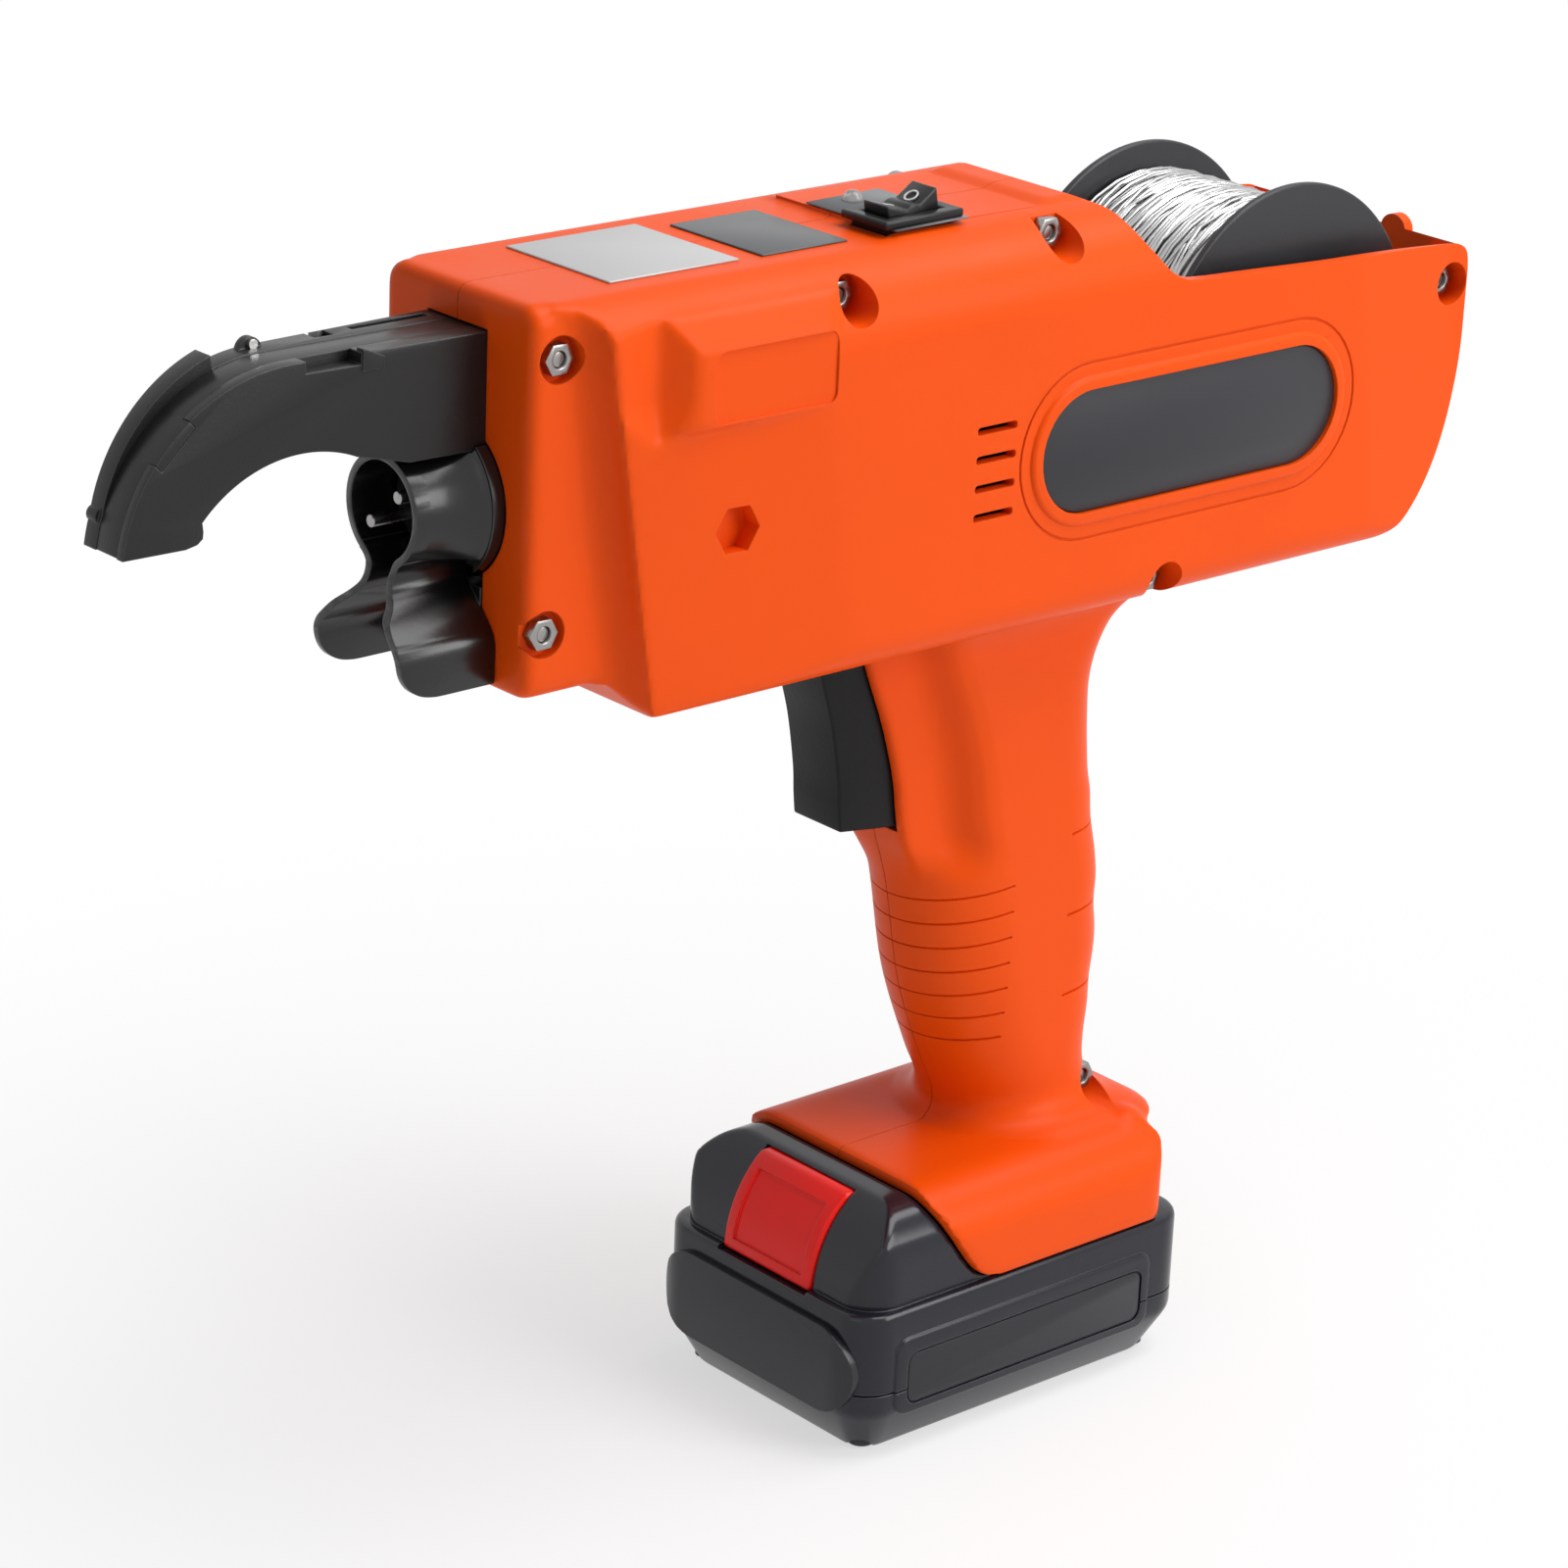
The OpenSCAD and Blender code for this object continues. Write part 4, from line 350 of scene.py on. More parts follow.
RIM = curve([(CREST_X, CREST_Z), (-12.4, 244.6), (-14.2, 242), (-15.8, 239.4), (-18.5, 236), (-21.2, 233.2),
             (-24.7, 231.3), (-30, 230.5), (-44, 229.8), (-64, 228.8), (-84, 228.1), (-101, 227),
             (-105.4, 226.2), (-107.4, 224.4), (REAR_X, 221)], 6)
work(shell, "INTERSECT", prism([(TAIL_X, 0), (200, 0), (200, TALL), (CREST_X, TALL)] + RIM
                               + arc(TAIL_X, TAIL_Z, TAIL_RX, TAIL_RZ, 180, 270, 30), "y", -FAR, FAR))
LUG_Y, LUG_Z, LUG_HALF_W, LUG_H, LUG_LOW = 10.2, 225.4, 3.3, 3.1, 222
lug = prism(arc(LUG_Y, LUG_Z, LUG_HALF_W, LUG_H, 0, 180, 20)
            + [(LUG_Y - LUG_HALF_W, LUG_LOW), (LUG_Y + LUG_HALF_W, LUG_LOW)],
            "x", REAR_X + 0.1, REAR_X + SHELL_T)
pad = prism([(STEP_X, 243), (STEP_X, STEP_Z + 0.1), (DIP_X, DIP_Z + 0.1), (DIP_X, 243)], "y", -15.5, 15.5)
work(shell, "UNION", pad, lug)
outer = copied("outer", shell)

inside = body_form(SHELL_T)
work(inside, "DIFFERENCE", box((-200, -60, 100), (PARTITION_X + SHELL_T, 60, TALL)))
under_ramp = [(x + 1.8, z - 1.9) for x, z in RIM if x > -40] + [(-60, 225)]
work(inside, "INTERSECT", prism([(-60, 0), (200, 0), (200, TALL), (CREST_X + SHELL_T, TALL)] + under_ramp,
                                "y", -FAR, FAR))
bay = solid("bay", prism([(PARTITION_X, BELLY_Z + SHELL_T), (PARTITION_X, TALL), (REAR_X + SHELL_T, TALL)]
                         + arc(TAIL_X, TAIL_Z, TAIL_RX - SHELL_T, TAIL_RZ - SHELL_T, 180, 270),
                         "y", -BAY_HALF_W, BAY_HALF_W))
bay_r = BELLY_R - SHELL_T
bay_belly = arc(BODY_HALF_W - BELLY_R, BELLY_Z + BELLY_R, bay_r, bay_r, 270, 360, 8)
work(bay, "INTERSECT", prism(both_sides(bay_belly + [(BAY_HALF_W, TALL)]), "x", -130, 0))
foot_room = solid("foot_room", prism(foot_cross(SHELL_T), "x", -35.5, 60))
work(foot_room, "INTERSECT", prism([(60, 60), (60, 0), (-33, 0), (-35.5, 44), (-29.5, FOOT_TOP), (-29.5, 60)],
                                   "y", -REACH, REACH))
work(shell, "DIFFERENCE", inside, bay, grip_form(SHELL_T, 45, 172), foot_room)
bosses = solid("bosses", rod("y", -REACH, REACH, BOLTS[0][0], BOLTS[0][1], BOSS_R))
work(bosses, "UNION", *[rod("y", -REACH, REACH, x, z, BOSS_R) for x, z, seat in BOLTS[1:]])
work(bosses, "DIFFERENCE", *[rod("y", 2 - seat, seat - 2, x, z, 7) for x, z, seat in BOLTS])
work(bosses, "INTERSECT", outer)
HEX_X, HEX_Z, HEX_R, HEX_FLOOR, HEX_BACK = 84, 200.5, 4.9, 25.9, 7
backs = []
for side in (1, -1):
    low, high = across(side, 25.2, 28.2)
    backs.append(box((HEX_X - HEX_BACK, low, HEX_Z - HEX_BACK), (HEX_X + HEX_BACK, high, HEX_Z + HEX_BACK)))
work(shell, "UNION", bosses, *backs)

PLATE_X, PLATE_Z, PLATE_R, PLATE_REACH = -29, 201.3, 12.2, 27.8
stadium = (arc(PLATE_X + PLATE_REACH, PLATE_Z, PLATE_R, PLATE_R, -90, 90, 20)
           + arc(PLATE_X - PLATE_REACH, PLATE_Z, PLATE_R, PLATE_R, 90, 270, 20))


def wider(by):
    """The stadium outline grown evenly"""
    return [(x + by * (x - cx) / PLATE_R, z + by * (z - PLATE_Z) / PLATE_R)
            for x, z in stadium for cx in (PLATE_X + math.copysign(PLATE_REACH, x - PLATE_X),)]


BEAD_HALF_W, BEAD_ROOT, BEAD_W, BEAD_R = 31.8, 29, 2.6, 1.1
for side in (1, -1):
    bead = prism(wider(BEAD_W), "y", *across(side, BEAD_ROOT, BEAD_HALF_W))
    rounded(bead, [edge for edge in bead.edges if all(abs(abs(vert.co.y) - BEAD_HALF_W) < 0.01
                                                      for vert in edge.verts)], BEAD_R, 5)
    work(shell, "UNION", bead)
VENT_X0, VENT_X1, VENT_Z, VENT_H, VENT_R, VENT_PITCH, VENT_FLOOR = 17.5, 27.5, 192, 1.6, 0.7, 5.6, 26
PLATE_BED, BLOCK_BED, BLOCK_BED_Y = 29.8, soft_rect(62.8, 221.1, 91.5, 234.5, 2.1), 30.6
GROOVE_IN, GROOVE_OUT, GROOVE_FLOOR = 4.9, 5.4, 30.65
cuts = []
for side in (1, -1):
    for x, z, seat in BOLTS:
        cuts += [rod("y", *across(side, seat, OUTSIDE), x, z, POCKET_R)]
    for k in range(4):
        z = VENT_Z + VENT_PITCH * k
        vent = soft_rect(VENT_X0, z, VENT_X1, z + VENT_H, VENT_R)
        cuts += [prism(vent, "y", *across(side, VENT_FLOOR, OUTSIDE))]
    hexagon = arc(HEX_X, HEX_Z, HEX_R, HEX_R, 0, 300, 5)
    cuts += [prism(hexagon, "y", *across(side, HEX_FLOOR, OUTSIDE)),
             prism(stadium, "y", *across(side, PLATE_BED, OUTSIDE)),
             prism(BLOCK_BED, "y", *across(side, BLOCK_BED_Y, OUTSIDE))]
    groove = solid("groove", prism(wider(GROOVE_OUT), "y", *across(side, GROOVE_FLOOR, OUTSIDE)))
    work(groove, "DIFFERENCE", prism(wider(GROOVE_IN), "y", *across(side, 30, OUTSIDE + 1)))
    cuts += [groove]
cuts += [rod("y", -OUTSIDE, OUTSIDE, x, z, BOLT_HOLE_R) for x, z, seat in BOLTS]
cuts += [box(*ARM_ROOM), rod("x", 120, 127, 0, TWIST_Z, FLANGE_BORE_R, 72),
         box(*TRIGGER_ROOM), box(*ROCKER_ROOM)]


def grooves(name, top, pitch, count, width, depth, low, high):
    """A set of grooves across one face of the grip"""
    made = solid(name, grip_groove(top, width, depth))
    work(made, "UNION", *[grip_groove(top - pitch * k, width, depth) for k in range(1, count)])
    return work(made, "INTERSECT", box(low, high))


ribs = grooves("ribs", 107, 5.5, 7, 1.1, 0.8, (-4, -40, 60), (40, 40, 112))
creases = grooves("creases", 113, 17.4, 3, 1.2, 0.9, (-60, -40, 60), (-19, 40, 125))
work(shell, "DIFFERENCE", *cuts, ribs, creases)


def noise(nodes, links, coords, scale, detail=2):
    """Noise on a piece's own coordinates"""
    node = nodes.new("ShaderNodeTexNoise")
    node.inputs["Scale"].default_value, node.inputs["Detail"].default_value = scale, detail
    links.new(coords.outputs["Object"], node.inputs["Vector"])
    return node


def spread(nodes, links, source, low, high):
    """Spreads a noise over a range of values"""
    node = nodes.new("ShaderNodeMapRange")
    node.inputs["From Min"].default_value, node.inputs["From Max"].default_value = 0.3, 0.7
    node.inputs["To Min"].default_value, node.inputs["To Max"].default_value = low, high
    links.new(source.outputs["Fac"], node.inputs["Value"])
    return node


def moulded(name, colour, rough, grain=900, depth=0.06, edge_wear_and_highlight=None, soft=0.0004, **sockets):
    """Moulded plastic: fine spark-eroded grain, uneven gloss and, where given, paler rounded edges that are
    partly wear and partly a painted highlight
    """
    material = bpy.data.materials.new(name)
    material.use_nodes = True
    nodes, links = material.node_tree.nodes, material.node_tree.links
    shader = nodes["Principled BSDF"]
    coords = nodes.new("ShaderNodeTexCoord")
    cloud = noise(nodes, links, coords, 28, 3)
    gloss = spread(nodes, links, cloud, rough * 0.88, rough * 1.14)
    links.new(gloss.outputs["Result"], shader.inputs["Roughness"])
    tone = nodes.new("ShaderNodeMix")
    tone.data_type = "RGBA"
    tone.inputs["A"].default_value = (*[part * 0.95 for part in colour], 1)
    tone.inputs["B"].default_value = (*[min(part * 1.04, 1) for part in colour], 1)
    links.new(cloud.outputs["Fac"], tone.inputs["Factor"])
    edge = nodes.new("ShaderNodeBevel")
    edge.samples = 4
    edge.inputs["Radius"].default_value = soft
    bump = nodes.new("ShaderNodeBump")
    bump.inputs["Strength"].default_value, bump.inputs["Distance"].default_value = depth, 0.0004
    links.new(noise(nodes, links, coords, grain, 3).outputs["Fac"], bump.inputs["Height"])
    links.new(edge.outputs["Normal"], bump.inputs["Normal"])
    links.new(bump.outputs["Normal"], shader.inputs["Normal"])
    top = tone
    # Where given, rounded edges take a paler colour: partly wear, partly a painted highlight standing in for
    # light caught along the edges.
    if edge_wear_and_highlight:
        face = nodes.new("ShaderNodeNewGeometry")
        dot = nodes.new("ShaderNodeVectorMath")
        dot.operation = "DOT_PRODUCT"
        links.new(edge.outputs["Normal"], dot.inputs[0])
        links.new(face.outputs["Normal"], dot.inputs[1])
        edge_wear_highlight_mask = nodes.new("ShaderNodeMapRange")
        edge_wear_highlight_mask.inputs["From Min"].default_value, edge_wear_highlight_mask.inputs["From Max"].default_value = 0.985, 0.85
        links.new(dot.outputs["Value"], edge_wear_highlight_mask.inputs["Value"])
        top = nodes.new("ShaderNodeMix")
        top.data_type = "RGBA"
        top.inputs["B"].default_value = (*edge_wear_and_highlight, 1)
        links.new(edge_wear_highlight_mask.outputs["Result"], top.inputs["Factor"])
        links.new(tone.outputs["Result"], top.inputs["A"])
    links.new(top.outputs["Result"], shader.inputs["Base Color"])
    for socket, value in sockets.items():
        shader.inputs[socket.replace("_", " ")].default_value = value
    return material


def paint(piece, material):
    """Gives a piece its only material"""
    piece.data.materials.clear()
    piece.data.materials.append(material)
    return piece


orange = moulded("orange_shell", (0.84, 0.080, 0.0015), 0.40, edge_wear_and_highlight=(0.88, 0.10, 0.004),
                 Specular_IOR_Level=0.13)
for name, node, side in (("shell_left", "left_housing", 1), ("shell_right", "right_housing", -1)):
    half = copied(name, shell)
    low, high = across(side, SEAM, 60)
    work(half, "INTERSECT", box((-200, low, 0), (200, high, TALL)))
    paint(finished(half, name, "housing", "orange_shell", node), orange)
bpy.data.objects.remove(shell)


# Housing bolts and nuts
# Seven M3 socket screws run across the two shells into plain zinc-plated hex nuts, which sit in
# round pockets on the left side. Turned and rolled steel with softly broken edges.
def softened(node, name, body, slot, width, angle=25, segments=2, sharp=40):
    """A CAD node with its loose triangles merged and its edges broken"""
    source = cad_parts[node]
    bm = bmesh.new()
    bm.from_mesh(source.data)
    bmesh.ops.scale(bm, vec=(1000, 1000, 1000), verts=bm.verts)
    bmesh.ops.remove_doubles(bm, verts=bm.verts, dist=0.004)
    bmesh.ops.dissolve_degenerate(bm, edges=bm.edges, dist=0.001)
    bmesh.ops.dissolve_limit(bm, angle_limit=math.radians(0.6), verts=bm.verts, edges=bm.edges)
    edges = [edge for edge in bm.edges
             if len(edge.link_faces) == 2 and edge.calc_face_angle(0) > math.radians(angle)]
    rounded(bm, edges, width, segments)
    return finished(solid(name, bm), name, body, slot, node, sharp=sharp)


def metal(name, colour, rough, scratch=600, depth=0.05):
    """Bare or plated metal with fine tool marks and uneven polish"""
    return moulded(name, colour, rough, grain=scratch, depth=depth, soft=0.00015, Metallic=1.0)


plated = metal("plated_steel", (0.32, 0.31, 0.30), 0.28)
paint(softened("housing_nuts", "nuts", "housing", "fastener_steel", 0.3), plated)
paint(softened("housing_bolts", "bolts", "housing", "fastener_steel", 0.3), plated)


# Name plates and deck labels
# Printed polycarbonate films: a dark stadium plate let into each flank, a blank silver panel and a
# dark rating panel on the deck. They are left without print.
dark_film = moulded("dark_film", (0.026, 0.027, 0.032), 0.36, grain=2500, depth=0.05, Specular_IOR_Level=0.35)
silver_film = moulded("silver_film", (0.50, 0.50, 0.50), 0.38, grain=3200, depth=0.04, Metallic=0.25)
rating_film = moulded("rating_film", (0.075, 0.078, 0.082), 0.36, grain=2600, depth=0.05)
paint(softened("left_name_plate", "plate_left", "housing", "name_plate", 0.25), dark_film)
paint(softened("right_name_plate", "plate_right", "housing", "name_plate", 0.25), dark_film)
paint(softened("silver_plate", "panel_silver", "housing", "silver_label", 0.12), silver_film)
paint(softened("dark_plate", "panel_dark", "housing", "dark_label", 0.12), rating_film)


# Switch group
# A snap-in rocker switch of black nylon on a grey film, with a clear domed lamp beside it. The
# rocker carries its usual pad-printed on and off marks.
film_grey = moulded("film_grey", (0.15, 0.16, 0.17), 0.40, grain=2600, depth=0.05)
switch_black = moulded("switch_black", (0.009, 0.009, 0.010), 0.30, edge_wear_and_highlight=(0.05, 0.05, 0.055),
                       Specular_IOR_Level=0.25)
lens = moulded("lamp_lens", (0.50, 0.48, 0.48), 0.10, Transmission_Weight=0.6)
mark_white = moulded("mark_white", (0.75, 0.75, 0.75), 0.45, grain=3000, depth=0.04)
film = paint(softened("switch_film", "film", "housing", "film_grey", 0.1), film_grey)
film_bm = bmesh.new()
film_bm.from_mesh(film.data)
bmesh.ops.bisect_plane(film_bm, geom=[*film_bm.verts, *film_bm.edges, *film_bm.faces],
                       plane_co=(STEP_X / 1000, 0, 0), plane_no=(1, 0, 0), clear_outer=True)
bmesh.ops.holes_fill(film_bm, edges=[edge for edge in film_bm.edges if edge.is_boundary], sides=0)
film_bm.to_mesh(film.data)
film_bm.free()
paint(softened("rocker_bezel", "bezel", "housing", "black_plastic", 0.35), switch_black)
paint(softened("rocker_button", "rocker", "rocker", "black_plastic", 0.4), switch_black)
paint(softened("indicator_lamp", "lamp", "housing", "lamp_red", 0.1), lens)
MARK_R, MARK_IN_R, BAR_HALF_W, MARK_SUNK, MARK_PROUD = 1.5, 1.1, 0.22, -0.1, 0.06
ring = solid("ring", rod("z", MARK_SUNK, MARK_PROUD, 0, 0, MARK_R))
work(ring, "DIFFERENCE", rod("z", -1, 1, 0, 0, MARK_IN_R))
bar = solid("bar", box((-BAR_HALF_W, -MARK_R, MARK_SUNK), (BAR_HALF_W, MARK_R, MARK_PROUD)))
for mark, slope in ((ring, 1), (bar, -1)):
    flat = [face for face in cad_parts["rocker_button"].data.polygons
            if face.normal.z > 0.6 and face.normal.x * slope > 0.1 and abs(face.normal.y) < 0.01]
    area = sum(face.area for face in flat)
    spot = sum((face.center * face.area for face in flat), Vector()) * 1000 / area
    way = sum((face.normal * face.area for face in flat), Vector()).normalized()
    mark.data.transform(Matrix.Translation(spot) @ way.to_track_quat("Z", "Y").to_matrix().to_4x4())
paint(finished(work(ring, "UNION", bar), "rocker_marks", "rocker", "silver_label"), mark_white)


# Curl guide arm
# Pressed and machined steel, phosphated black: a cover plate on the left, a hardened channel that
# bends the wire, and a right plate whose rim stands proud round the bend.
ARM_TOP, ARM_LOW, ARM_BACK, ARM_TIP, ARM_STEP_X, ARM_STEP_Z = 238.3, 217.1, 116, 209, 120.3, 221.3
OUT_X, OUT_Z, OUT_R, IN_X, IN_Z, IN_R = 165, 204, 34.3, 163, 195, 27.2
ROOT_HALF_W, TIP_HALF_W, CHANNEL_RIGHT, CHANNEL_LEFT, PLATE_GAP = 8.6, 5.8, -2.2, 4, 0.06
NOTCH_IN, NOTCH_HALF_W, NOTCH_TURN = 32.2, 4.8, -45
CLAMP = (*BOLTS[0][:2], BOLT_HOLE_R)


def broken(piece, width, segments=3, angle=25):
    """Breaks a worked solid's sharp edges"""
    bm = bmesh.new()
    bm.from_mesh(piece.data)
    bmesh.ops.remove_doubles(bm, verts=bm.verts, dist=0.002)
    bmesh.ops.dissolve_limit(bm, angle_limit=math.radians(0.4), verts=bm.verts, edges=bm.edges)
    edges = [edge for edge in bm.edges if edge.calc_face_angle(0) > math.radians(angle)]
    rounded(bm, edges, width, segments)
    bm.to_mesh(piece.data)
    bm.free()
    return piece


def arm_side(i):
    """Side outline of the arm, drawn in by i"""
    tip = math.degrees(math.asin((ARM_TIP + i - OUT_Z) / (OUT_R - i)))
    inner = math.degrees(math.asin((ARM_TIP + 4.2 - IN_Z) / (IN_R + i)))
    return ([(ARM_BACK, ARM_TOP - i), (ARM_BACK, ARM_STEP_Z), (ARM_STEP_X, ARM_STEP_Z),
             (ARM_STEP_X, ARM_LOW + i), (141, ARM_LOW + i)]
            + arc(IN_X, IN_Z, IN_R + i, IN_R + i, 114, inner, 40)
            + [(183 + i, 211.6), (183.1 + i, 210.4 + i), (184.2 + i, 209.5 + i), (186.5, ARM_TIP + i)]
            + arc(OUT_X, OUT_Z, OUT_R - i, OUT_R - i, tip, 90, 56))


def arm_wedge(side, start):
    """Room of one side plate, narrowing to the tip"""
    plan = [(100, start), (210, start), (210, TIP_HALF_W), (199.3, TIP_HALF_W), (125, ROOT_HALF_W),
            (100, ROOT_HALF_W)]
    return prism([(x, side * y) for x, y in plan], "z", 150, TALL)


jaw_black = moulded("jaw_black", (0.013, 0.013, 0.013), 0.34, grain=1400, depth=0.08, edge_wear_and_highlight=(0.09, 0.09, 0.09),
                    Specular_IOR_Level=0.3)
cup_black = moulded("cup_black", (0.005, 0.005, 0.005), 0.25, grain=1200, depth=0.03, edge_wear_and_highlight=(0.05, 0.05, 0.05),
                    Specular_IOR_Level=0.5)
bright = metal("bright_steel", (0.72, 0.71, 0.69), 0.22)


def notch(gap):
    """Room of the notch in the cover's outer edge, which a tab of the channel fills"""
    bm = box((NOTCH_IN + gap, 0, gap - NOTCH_HALF_W), (50, 20, NOTCH_HALF_W - gap))
    bmesh.ops.rotate(bm, cent=(0, 0, 0), verts=bm.verts,
                     matrix=Matrix.Rotation(math.radians(NOTCH_TURN), 3, "Y"))
    bmesh.ops.translate(bm, vec=(OUT_X, 0, OUT_Z), verts=bm.verts)
    return bm


cover = solid("cover", prism(arm_side(0), "y", 0, 20))
work(cover, "INTERSECT", arm_wedge(1, CHANNEL_LEFT + PLATE_GAP))
hook = [(146.6, 237), (150.6, 238.9), (151.2, 238.9), (151.2, 235), (146.6, 235)]
work(cover, "UNION", prism(hook, "y", 6, 8.1))
work(cover, "DIFFERENCE", notch(0), box((151.3, 0, 236.2), (162.6, 20, 250)), rod("y", 0, 20, *CLAMP))
paint(finished(broken(cover, 0.45), "arm_left", "housing", "jaw_black", "guide_left_plate"), jaw_black)
rim = solid("rim", prism(arm_side(0), "y", -20, 0))
crescent = arc(165.5, 208, 32.8, 32.8, 9, 72, 40) + arc(OUT_X, OUT_Z, 31.8, 31.8, 72, 9, 40)
work(rim, "UNION", prism(crescent, "y", -20, 0))
work(rim, "INTERSECT", arm_wedge(-1, -CHANNEL_RIGHT + PLATE_GAP))
work(rim, "UNION", prism(arc(165.4, 237.6, 2.4, 2.6, 0, 180, 20), "y", -6.7, -5.2),
     rod("y", -5.7, -3, 197, 214.4, 1.5))
work(rim, "DIFFERENCE", box((127, -7.2, 235.3), (144, -5.2, 250)),
     box((148.5, -7.6, 237), (152.5, -4.3, 250)), rod("y", -20, 0, *CLAMP))
paint(finished(broken(rim, 0.45), "arm_right", "housing", "jaw_black", "guide_right_plate"), jaw_black)
tab = solid("tab", prism(arm_side(0.1), "y", 0, 20))
work(tab, "INTERSECT", arm_wedge(1, 2), notch(0.12))
channel = solid("channel", prism(arm_side(0.1), "y", CHANNEL_RIGHT, CHANNEL_LEFT))
work(channel, "UNION", tab)
work(channel, "DIFFERENCE", rod("y", -20, 20, *CLAMP))
paint(finished(broken(channel, 0.3), "arm_channel", "housing", "jaw_black", "guide_liner"), jaw_black)
paint(softened("guide_pins", "arm_pins", "housing", "bright_steel", 0.3), bright)
stud = solid("stud", rod("y", -6, -4.4, 165.2, 239, 0.9))
paint(finished(stud, "arm_stud", "housing", "bright_steel"), bright)


# Wire mouth, barrel flange and twist head
# A pressed and blackened cup, open below, whose two thin legs flare out to bring the bars to the
# twist head. The flange behind it holds the head's bearing.
CUP_R, CUP_IN_R, CUP_X, DROP = 10.4, 9, 141, 31.5
WAIST_Y, WAIST_Z, WAIST_R, WAIST_IN_R = 8, -12, 3.9, 5.4
KNEE_Y, KNEE_Z, KNEE_R, KNEE_IN_R = 6.9, -25.2, 6, 4.5


def on_axis(points):
    """An outline drawn about the twist axis, lifted to its height"""
    return [(a, z + TWIST_Z) for a, z in points]


skin = (arc(0, 0, CUP_R, CUP_R, 90, -53, 48) + arc(WAIST_Y, WAIST_Z, WAIST_R, WAIST_R, 115, 225, 20)
        + arc(KNEE_Y, KNEE_Z, KNEE_R, KNEE_R, 45, 0, 10) + [(KNEE_Y + KNEE_R, -DROP)])
lining = ([(KNEE_Y + KNEE_IN_R, -DROP)] + arc(KNEE_Y, KNEE_Z, KNEE_IN_R, KNEE_IN_R, 0, 45, 10)
          + arc(WAIST_Y, WAIST_Z, WAIST_IN_R, WAIST_IN_R, 225, 115, 20)
          + arc(0, 0, CUP_IN_R, CUP_IN_R, -51, 90, 48))
half = skin + lining[:-1]
cross = half + [(0, CUP_IN_R)] + [(-y, z) for y, z in reversed(half[1:])]
mouth = solid("mouth", prism(on_axis(cross), "x", 125.3, 150))
profile = ([(100, 11), (CUP_X, 11), (CUP_X, -8)]
           + curve([(CUP_X, -10.4), (142.6, -15.4), (145.3, -18.2), (146.1, -21.5), (146.1, -24.5),
                    (145.4, -27.2), (143.8, -29.4), (141.4, -30.8), (138.6, -31.4), (136, -DROP)])
           + [(100, -DROP)])
work(mouth, "INTERSECT", prism(on_axis(profile), "y", -30, 30))
collar = arc(0, 0, CUP_R, CUP_R, 232, -52, 60) + arc(0, 0, CUP_IN_R, CUP_IN_R, -52, 232, 60)
roots = []
for side in (1, -1):
    low, high = across(side, 2.6, 8.5)
    roots.append(box((117, low, TWIST_Z - DROP), (125.4, high, TWIST_Z - FLANGE_BORE_R)))
work(mouth, "UNION", prism(on_axis(collar), "x", 120.4, 126), *roots)
work(mouth, "DIFFERENCE", rod("y", -20, 20, *BOLTS[1][:2], BOLT_HOLE_R))
paint(finished(broken(mouth, 0.35, 2), "mouth", "housing", "jaw_black", "wire_mouth"), cup_black)
paint(softened("barrel_flange", "flange", "housing", "jaw_black", 0.5, segments=3), cup_black)
bell_line = curve([(126.6, 14.3), (127.8, 14), (129, 13), (131, 11.9), (134, 11), (137, 10.5),
                   (138.8, 10.3)], 5)
bell_bm = bmesh.new()
ring = [bell_bm.verts.new((x, 0, r)) for x, r in bell_line + [(138.8, 10.1), (126.6, 10.1)]]
sides = [bell_bm.edges.new(pair) for pair in zip(ring, ring[1:] + ring[:1])]
bmesh.ops.spin(bell_bm, geom=sides, cent=(0, 0, 0), axis=(1, 0, 0), angle=2 * math.pi, steps=72,
               use_merge=True)
bmesh.ops.translate(bell_bm, vec=(0, 0, TWIST_Z), verts=bell_bm.verts)
bmesh.ops.recalc_face_normals(bell_bm, faces=bell_bm.faces)
bell = work(solid("bell", bell_bm), "DIFFERENCE", box((120, -20, 150), (140, 20, TWIST_Z - 8.6)),
            box((120, -8.8, 216.9), (140, 8.8, 230)))
paint(finished(bell, "flange_bell", "housing", "jaw_black"), cup_black)
paint(softened("twist_head", "head", "twister", "bright_steel", 0.4), jaw_black)
paint(softened("twist_pins", "head_pins", "twister", "bright_steel", 0.25), plated)


# Trigger
# Black glass-filled nylon with a bowed finger face, sliding into the grip.
trigger_black = moulded("trigger_black", (0.008, 0.008, 0.009), 0.36, grain=1100, depth=0.08,
                        edge_wear_and_highlight=(0.04, 0.04, 0.04), Specular_IOR_Level=0.15)
TRIGGER_BACK, TRIGGER_LOW, TRIGGER_TOP, TRIGGER_HALF_W = 12, 122.4, 170.4, 6.9
finger = curve([(35.2, 124.4), (35.7, 129), (36.2, 135), (38.2, 146), (41.2, 156), (43, 163),
                (43.4, TRIGGER_TOP)])
key = solid("key", prism([(TRIGGER_BACK, TRIGGER_LOW), (20.4, TRIGGER_LOW)] + finger
                         + [(TRIGGER_BACK, TRIGGER_TOP)], "y", -TRIGGER_HALF_W, TRIGGER_HALF_W))
paint(finished(broken(key, 0.9, 4), "trigger_key", "trigger", "black_plastic", "trigger"), trigger_black)


